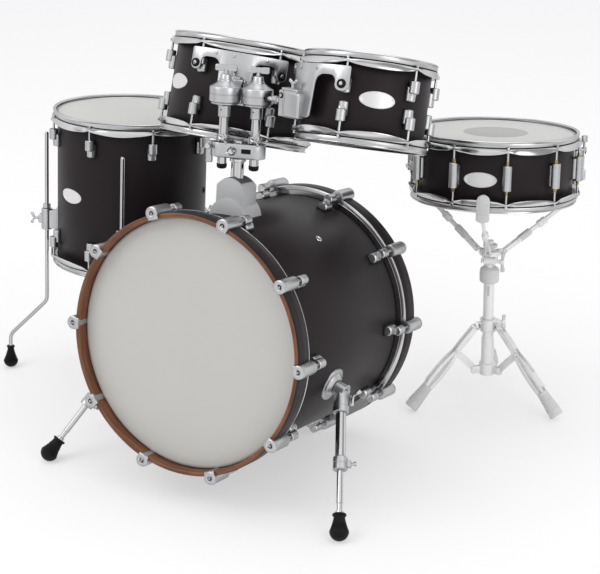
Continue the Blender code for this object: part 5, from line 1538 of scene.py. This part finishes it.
class DRUMKIT_OT_snare_fittings(bpy.types.Operator):
    """Dress the snare drum's strainer, throw-off lever, butt plate and snare wires"""

    bl_idname = "drumkit.snare_fittings"
    bl_label = "Snare fittings"

    def execute(self, context):
        radius, total = TOMS["snare"][0] / 2, drum_total(TOMS["snare"][1])
        throw = drum_frame("snare") @ turn(STRAINER_AROUND)
        back = throw @ turn(180)
        hinge = Matrix.Translation(joint_point("snare_lever_hinge")) @ throw.to_3x3().to_4x4()
        wires = -total + FILM_DROP - 0.0003
        return report_done(self, [
            dressed("snare_strainer_case", strainer(radius), "snare_basket", "chrome", "snare_strainer",
                    place=throw),
            dressed("snare_throw_off", strainer_lever(), "snare_lever", "chrome", "snare_strainer_lever",
                    place=hinge),
            dressed("snare_butt_block", butt_plate(radius), "snare_basket", "chrome", "snare_butt_plate",
                    place=back),
            dressed("snare_coils", wire_band(wires), "snare_basket", "chrome", "snare_wires", place=throw),
        ])


# Snare stand


def strip(points, wide, thick, bevel=0.0008):
    """A flat strip with round ends that follows (x, z) points, upright in the XZ plane and centred on it."""
    line = [Vector(point) for point in points]
    sides = ([], [])
    for index, point in enumerate(line):
        along = (line[min(index + 1, len(line) - 1)] - line[max(index - 1, 0)]).normalized()
        across = Vector((-along.y, along.x)) * wide / 2
        sides[0].append(point + across)
        sides[1].append(point - across)
    ends = []
    for middle, start in ((line[-1], sides[0][-1]), (line[0], sides[1][0])):
        arm = start - middle
        for step in range(1, 8):
            spun = arm.copy()
            spun.rotate(Matrix.Rotation(math.radians(180 * step / 8), 2))
            ends.append(middle + spun)
    outline = sides[0] + ends[:7] + sides[1][::-1] + ends[7:]
    item = plate([tuple(point) for point in outline], thick, "pale", bevel)
    return placed(item, turn(90, "X") @ at(z=-thick / 2))


def rivet(length, radius=0.004):
    """A rivet along Y with a domed head on each side."""
    half = length / 2
    head = [(0.0, half + 0.0018), (radius * 0.6, half + 0.0014), (radius, half), (radius * 0.55, half)]
    return placed(turned([(x, -z) for x, z in head] + head[::-1], "pale", 20), turn(90, "X"))


def stand_tube():
    """The stand's main tube with its rounded grey clamp collar, lower sleeve and the ears for the braces."""
    body = turned(mm([
        (10.3, 64), (14, 64), (15, 65), (15, 66), (18.8, 66.4), (19.2, 68), (19.2, 92), (18.8, 93.6),
        (15.6, 94.4), (14.6, 97), (14.4, 158), (13.6, 160), (12.5, 160.4), (12.5, 310), (10.3, 310),
    ]), "pale", 64, ring=True)
    clamp = turned(mm([
        (10.4, 296), (15, 296), (20, 297.2), (21.8, 299), (22.6, 303), (22.6, 324), (21.2, 329), (18, 331.6),
        (14, 333), (10.4, 333),
    ]), "pale_rubber", 64, ring=True)
    stamp = block((0.006, 0.0008, 0.024), (0.004, -0.01255, 0.278), "pale_rubber", 0.0003, 1)
    ears = []
    for angle in STAND_LEG_AT:
        ears.append(placed(block((0.006, 0.006, 0.018), (0.0195, 0, 0.08), "pale", 0.0006, 2), turn(angle)))
        for side in (-1, 1):
            ear = block((0.025, 0.0018, 0.018), (0.0275, side * 0.0032, 0.08), "pale", 0.0006, 2)
            ears.append(placed(ear, turn(angle)))
    return joined("tube", body, clamp, stamp, ears)


def leg_collar():
    """The sliding collar that carries the legs, in its own frame, with its T-bolt."""
    ring = turned(mm([
        (13.2, -15), (18.4, -15), (19.2, -14.2), (19.2, -12.4), (18, -11.6), (18, 11.6), (19.2, 12.4),
        (19.2, 14.2), (18.4, 15), (13.2, 15),
    ]), "pale", 64, ring=True)
    tabs = [
        placed(strip(mm([(15, 0), (31, 0)]), 0.018, 0.0088, 0.0014), turn(angle)) for angle in STAND_LEG_AT
    ]
    place = turn(STAND_LEG_AT[0] + 60) @ at(x=0.018) @ turn(90, "Y")
    lug = placed(block((0.018, 0.016, 0.016), (0, 0, 0.004), "pale", 0.003, 3), place)
    handle = placed(joined("handle", *t_bolt(0.036)), place @ at(z=0.01) @ turn(90))
    return joined("collar", ring, tabs, lug, handle)


def t_bolt(span):
    """A T-shaped hand bolt along +Z, its bar along Y."""
    stem = turned(mm([
        (0, -4), (4, -4), (4, 6), (6, 6.6), (6.4, 8), (6.4, 14), (5.2, 15.6), (0, 16),
    ]), "pale", 28)
    half = span / 2
    outline = rounded([
        (-half, 0.008), (-half * 0.3, 0.0092), (half * 0.3, 0.0092), (half, 0.008), (half, 0.02),
        (half * 0.34, 0.016), (-half * 0.34, 0.016), (-half, 0.02),
    ], [0.004, 0.01, 0.01, 0.004, 0.0055, 0.01, 0.01, 0.0055])
    bar = placed(plate(outline, 0.005, "pale_rubber", 0.0016), turn(90) @ turn(90, "X") @ at(z=-0.0025))
    return [stem, bar]


def stand_leg(foot):
    """A double-braced leg in its hinge's frame: two cheeks round an oval opening, web, rivets, rubber."""
    along = foot.normalized()
    out = Vector((-along.z, 0, along.x))
    reach = foot.length

    def on(distance, off=0.0):
        point = along * distance + out * off
        return (point.x, point.z)

    made = []
    for side in (-1, 1):
        upper = strip([on(0.0), on(0.04, 0.0008), on(0.08)], 0.014, 0.0026)
        bowed = []
        for sign in (-1, 1):
            points = [
                on(0.072 + 0.132 * step / 12, sign * (0.0015 + 0.0078 * math.sin(math.pi * step / 12) ** 0.8))
                for step in range(13)
            ]
            bowed.append(strip(points, 0.0082, 0.0026))
        for item in (upper, *bowed):
            made.append(placed(item, at(y=side * 0.0062)))
    lie = frame_on((0, 0, 0), out, along)
    web = placed(block((0.048, 0.014, 0.0018), (0.04, 0, 0.0062), "pale", 0.0006, 2), lie)
    low = placed(block((0.04, 0.014, 0.0018), (0.15, 0, 0.0128), "pale", 0.0006, 2), lie)
    pins = [placed(rivet(0.0152), at(*on_point)) for on_point in ((0, 0, 0), tuple(along * 0.196))]
    top = reach - 0.056
    end = reach + STAND_SOLE * (1 - along.x) / -along.z + 0.0012
    sole = mm([(0, -3.4), (-0.4, -1.8), (-1.6, -0.6), (-3.2, 0)], out=STAND_SOLE, up=end)
    ridges = []
    for index in range(8):
        start = top + 0.006 + 0.0058 * index
        wide = 0.013 + 0.00048 * index
        ridges += mm([(0, 0), (0.3, 4.2), (-0.6, 4.7), (-0.6, 5.5)], out=wide, up=start)
    profile = [(0.0, top), (0.0108, top), (0.0124, top + 0.0012), *ridges, *sole, (0.0, end)]
    rubber = placed(turned(profile, "pale_rubber", 48), frame_on((0, 0, 0), along, (0, 1, 0)))
    return joined("leg", made, web, low, pins, rubber)


def brace(joint):
    """A brace from the tube's ears to the middle of a leg, a flat bar with a pressed rib."""
    middle = (joint.x / 2, joint.z / 2)
    bar = strip([(0, 0), middle, (joint.x, joint.z)], 0.0165, 0.0038, 0.001)
    pins = [placed(rivet(0.0084, 0.0036), at(0, 0, 0)), placed(rivet(0.0166, 0.004), at(*joint))]
    rib = block((joint.length * 0.55, 0.0046, 0.003), (joint.length / 2, 0, 0), "pale", 0.0012, 2)
    placed(rib, frame_on((0, 0, 0), joint.cross(Vector((0, 1, 0))), joint))
    return joined("brace", bar, pins, rib)


def basket_hub(arms_at, hub_turn):
    """The tilter's fork and plate with the arms' tabs, and the T-bolt at the end of the tilt pin."""
    plate_piece = turned(mm([
        (0, 14), (20, 14), (23.6, 15), (24.2, 17), (24.2, 22.5), (23, 25), (19, 26.2), (9, 26.4), (8.2, 29),
        (8.2, 48), (6.6, 50), (0, 50),
    ]), "pale", 56)
    cup = turned(mm([
        (0, 33), (15, 33), (16.6, 34.5), (16.6, 39.5), (15, 41), (0, 41),
    ]), "pale_rubber", 12, smooth=20)
    ears = [
        placed(strip(mm([(0, 0), (0, 18)]), 0.018, 0.004, 0.001), hub_turn @ at(y=side * 0.0153))
        for side in (-1, 1)
    ]
    pin = placed(turned(mm([
        (0, -20), (5.6, -20), (6.2, -19), (6.2, -17.6), (3.3, -17.4), (3.3, 20), (0, 20),
    ]), "pale", 28), hub_turn @ turn(90, "X"))
    handle = placed(joined("handle", *t_bolt(0.048)), hub_turn @ at(y=-0.017) @ turn(90, "X"))
    tabs = [placed(strip(mm([(16, 22), (34, 22)]), 0.012, 0.0058, 0.001), turn(angle)) for angle in arms_at]
    return joined("hub", plate_piece, cup, ears, pin, handle, tabs)


def basket_arm(grip, seat_z):
    """A basket arm in its hinge's frame: straps, a jointed bar with sleeves and the upright rubber tip."""
    end = Vector((grip + 0.006, 0, seat_z - 0.012))
    slope = end.z / end.x
    straps = [
        placed(strip([(0, 0), (0.044, 0.044 * slope)], 0.01, 0.0028), at(y=side * 0.0048))
        for side in (-1, 1)
    ]
    along = end.normalized()
    lie = frame_on((0, 0, 0), Vector((-along.z, 0, along.x)), along)
    length = end.length
    bar = placed(block((length - 0.03, 0.0064, 0.01), ((length + 0.03) / 2, 0, 0), "pale", 0.0016, 3), lie)
    first = placed(block((0.034, 0.0125, 0.015), (0.062, 0, 0), "pale_rubber", 0.003, 3), lie)
    second = placed(block((0.024, 0.013, 0.016), (0.113, 0, 0), "pale", 0.0034, 3), lie)
    pins = [placed(rivet(0.0126, 0.0034), at(*(along * distance))) for distance in (0.0, 0.04, 0.113)]
    half, low, high = 0.0146, seat_z - 0.018, seat_z + 0.044
    outline = []
    for middle, start, squash in ((high - half, 0, 1.0), (low + half * 0.6, 180, 0.6)):
        outline += arc(half, half * squash, range(start, start + 181, 15), up=middle)
    pad = plate(outline, 0.012, "pale_rubber", 0.0026)
    placed(pad, at(x=grip + 0.0002) @ turn(90, "Z") @ turn(90, "X"))
    ledge = block((0.016, 0.027, 0.016), (grip - 0.003, 0, seat_z - 0.0088), "pale_rubber", 0.0026, 3)
    lips = [
        block((0.0028, 0.025, 0.0018), (grip + 0.0118, 0, height), "pale_rubber", 0.0007, 2)
        for height in (seat_z + 0.002 + 0.007 * index for index in range(4))
    ]
    return joined("arm", straps, bar, first, second, pins, pad, ledge, lips)


class DRUMKIT_OT_snare_stand(bpy.types.Operator):
    """Dress the snare stand: tube, leg collar, double-braced legs, upper tube, tilter and basket arms"""

    bl_idname = "drumkit.snare_stand"
    bl_label = "Snare stand"

    def execute(self, context):
        sizes = context.scene.drumkit_stand
        seat = Matrix.Translation(kit_shift() + Vector(STAND_AT))
        high, low = at(z=COLLAR_HEIGHT), at(z=EAR_HEIGHT)
        made = [
            dressed("stand_tube", stand_tube(), "kit", "pale_metal", "stand_base_tube", place=seat),
            dressed("stand_collar", leg_collar(), "stand_leg_collar", "pale_metal", "stand_leg_collar",
                    place=seat @ high),
        ]
        foot = Vector((sizes.foot_radius - STAND_LEG_OUT, 0, STAND_SOLE - COLLAR_HEIGHT))
        lean = math.atan2(foot.x, -foot.z)
        joint = Vector((math.sin(lean), 0, math.cos(lean))) * 0.055 / math.cos(lean)
        for index, angle in enumerate(STAND_LEG_AT, 1):
            pivot = seat @ turn(angle) @ at(x=STAND_LEG_OUT)
            leg, node = stand_leg(foot), f"stand_leg_{index}"
            made.append(dressed(f"stand_braced_leg_{index}", leg, node, "pale_metal", node,
                                place=pivot @ high))
            strut, node = brace(joint), f"stand_strut_{index}"
            made.append(dressed(f"stand_brace_{index}", strut, node, "pale_metal", node, place=pivot @ low))
        tilter = joint_point("basket_tilt")
        axis = flat_end("snare_batter_head")[1]
        ahead = (axis.x, axis.y, 0)
        upright = frame_on(tilter, axis)
        inner = turned(mm([(0, -259), (9, -259), (9.8, -258), (9.8, -6), (0, -6)]), "pale", 56)
        barrel = placed(turned(mm([
            (0, -12.8), (10.6, -12.8), (11.4, -11.8), (11.4, 11.8), (10.6, 12.8), (0, 12.8),
        ]), "pale", 48), turn(90, "X"))
        node, facing = "stand_upper_tube", frame_on(tilter, (0, 0, 1), ahead)
        made.append(dressed("stand_inner_tube", [inner, barrel], node, "pale_metal", node, place=facing))
        hub = basket_hub(BASKET_ARM_AT, upright.inverted() @ frame_on(tilter, axis, ahead))
        made.append(dressed("stand_tilter", hub, "snare_basket", "pale_metal", "stand_basket_hub",
                            place=upright))
        grip = (TOMS["snare"][0] / 2 + 0.0168) / math.cos(math.pi / 30) - BASKET_ARM_OUT
        for index, angle in enumerate(BASKET_ARM_AT, 1):
            arm, node = basket_arm(grip, BASKET_RISE), f"stand_basket_arm_{index}"
            made.append(dressed(f"stand_arm_{index}", arm, f"basket_arm_{index}", "pale_metal", node,
                                place=upright @ turn(angle) @ at(x=BASKET_ARM_OUT, z=0.022)))
        return report_done(self, made)


# Vents and badges


class DRUMKIT_OT_vents_and_badges(bpy.types.Operator):
    """Place the bare oval badges and the ringed air vents on the shells"""

    bl_idname = "drumkit.vents_and_badges"
    bl_label = "Vents and badges"

    def execute(self, context):
        long = context.scene.drumkit_badges.long
        made = []
        for name, (drum, degrees, height) in BADGES.items():
            radius = TOMS[drum][0] / 2
            place = drum_frame(drum) @ flush_on(radius, degrees, height)
            badge = bare_badge(radius, long, long * 0.46)
            made.append(dressed(name, badge, BODY_OF[drum], "chrome", place=place))
        place = drum_frame("floor_tom") @ flush_on(TOMS["floor_tom"][0] / 2, *VENT_AT)
        made.append(dressed("floor_tom_vent", grommet("rubber", 0.0078), "kit", "chrome", place=place))
        place = on_bass(*BASS_VENT)
        made.append(dressed("bass_vent", grommet("chrome", 0.008), "kit", "chrome", place=place))
        return report_done(self, made)


class DRUMKIT_OT_stage(bpy.types.Operator):
    """Set the floor, the soft lights, the pale surroundings and the camera"""

    bl_idname = "drumkit.stage"
    bl_label = "Stage"

    def execute(self, context):
        stage = context.scene.drumkit_stage
        deselect()
        bpy.ops.mesh.primitive_plane_add(size=60, location=(0, 0, 0))
        floor = context.object
        floor.name = "floor"
        bpy.ops.object.transform_apply(location=True, rotation=True, scale=True)
        floor.data.materials.append(floor_look(tuple(stage.floor)))
        surroundings(context.scene)
        for name, place, size, power in (
            ("key", (-2.6, -3.4, 4.4), (3.2, 3.2), stage.key),
            ("fill", (4.2, -1.6, 2.6), (2.4, 3.0), stage.fill),
            ("top", (0.2, 0.8, 4.6), (3.0, 3.0), stage.fill),
        ):
            light = bpy.data.lights.new(name, "AREA")
            light.shape = "RECTANGLE"
            light.size, light.size_y = size
            light.energy = power
            item = bpy.data.objects.new(name, light)
            item.matrix_world = looking_at(place, (0.1, 0.0, 0.45))
            context.scene.collection.objects.link(item)
        camera = bpy.data.cameras.new("photo_view")
        camera.lens = stage.lens
        camera.sensor_width = 36.0
        camera.clip_end = 100.0
        item = bpy.data.objects.new("photo_view", camera)
        context.scene.collection.objects.link(item)
        right = Vector((0.85992, 0.5102, -0.01505))
        up = Vector((-0.16712, 0.30929, 0.93617))
        back = Vector((0.48229, -0.80252, 0.35123))
        view = Matrix((right, up, back)).transposed().to_4x4()
        view.translation = kit_shift() + Vector((1.80686, -2.53558, 1.6348))
        item.matrix_world = view
        context.scene.camera = item
        context.scene.view_settings.view_transform = "Standard"
        return report_done(self, [floor, item])


def kit_shift():
    low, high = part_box("bass_shell")
    tilt = math.radians(BASS_TILT)
    ahead = BASS_SHELL_IN * math.cos(tilt) - BASS_RADIUS * math.sin(tilt)
    return Vector(((low[0] + high[0]) / 2, low[1] - ahead, 0.0))


def looking_at(place, target):
    way = (Vector(place) - Vector(target)).normalized()
    side = Vector((0, 0, 1)).cross(way).normalized()
    made = Matrix((side, way.cross(side), way)).transposed().to_4x4()
    made.translation = Vector(place)
    return made


# The white that the camera and mirrors see
WHITE_SEEN = (0.955, 0.955, 0.955, 1.0)


def floor_look(colour):
    """A pale floor that keeps its shadows, part of it lit by itself where the camera or a mirror sees it."""
    made, tree, shader = shader_of("pale_floor")
    fed(tree, shader, {"Base Color": (*colour, 1.0), "Roughness": 0.9, "Specular IOR Level": 0.1})
    glow = node(tree, "Emission", {"Color": WHITE_SEEN})
    half = node(tree, "Math", {0: seen_rays(tree), 1: 0.5}, operation="MULTIPLY")
    mix = node(tree, "MixShader", {"Fac": half.outputs[0], 1: shader.outputs[0], 2: glow.outputs[0]})
    fed(tree, tree.nodes["Material Output"], {"Surface": mix.outputs[0]})
    return made


def seen_rays(tree):
    """1 where the camera sees a surface straight, in a mirror or through something clear."""
    path = node(tree, "LightPath", {}).outputs
    most = path["Is Camera Ray"]
    for label in ("Is Glossy Ray", "Is Transmission Ray"):
        most = node(tree, "Math", {0: most, 1: path[label]}, operation="MAXIMUM").outputs[0]
    return most


def surroundings(scene):
    """A white background for camera and mirrors, and a plain soft light for everything else."""
    world = bpy.data.worlds.new("pale_room")
    world.use_nodes = True
    scene.world = world
    tree = world.node_tree
    seen = node(tree, "Background", {"Color": WHITE_SEEN})
    light = fed(tree, tree.nodes["Background"], {"Color": (0.86, 0.86, 0.86, 1.0)})
    mix = node(tree, "MixShader", {"Fac": seen_rays(tree), 1: light.outputs[0], 2: seen.outputs[0]})
    fed(tree, tree.nodes["World Output"], {"Surface": mix.outputs[0]})


OPERATORS = [
    DRUMKIT_OT_bass_drum, DRUMKIT_OT_small_drums, DRUMKIT_OT_tom_holder, DRUMKIT_OT_spurs,
    DRUMKIT_OT_floor_tom_legs,
    DRUMKIT_OT_snare_fittings, DRUMKIT_OT_snare_stand, DRUMKIT_OT_vents_and_badges, DRUMKIT_OT_stage,
]


class DRUMKIT_PT_panel(bpy.types.Panel):
    bl_idname = "DRUMKIT_PT_panel"
    bl_label = "Drum Kit"
    bl_space_type = "VIEW_3D"
    bl_region_type = "UI"
    bl_category = "Drum Kit"

    def draw(self, context):
        for operator in OPERATORS:
            self.layout.operator(operator.bl_idname)
        for name in GROUPS:
            settings = getattr(context.scene, name)
            box = self.layout.box()
            for label in settings.__annotations__:
                box.prop(settings, label)


def register():
    for group_class in GROUPS.values():
        bpy.utils.register_class(group_class)
    for operator in OPERATORS:
        bpy.utils.register_class(operator)
    bpy.utils.register_class(DRUMKIT_PT_panel)
    for name, group_class in GROUPS.items():
        setattr(bpy.types.Scene, name, PointerProperty(type=group_class))


def unregister():
    for name in GROUPS:
        delattr(bpy.types.Scene, name)
    bpy.utils.unregister_class(DRUMKIT_PT_panel)
    for operator in reversed(OPERATORS):
        bpy.utils.unregister_class(operator)
    for group_class in reversed(GROUPS.values()):
        bpy.utils.unregister_class(group_class)


def main():
    register()
    deselect()
    for operator in OPERATORS:
        family, name = operator.bl_idname.split(".")
        getattr(getattr(bpy.ops, family), name)()


if __name__ == "__main__":
    main()
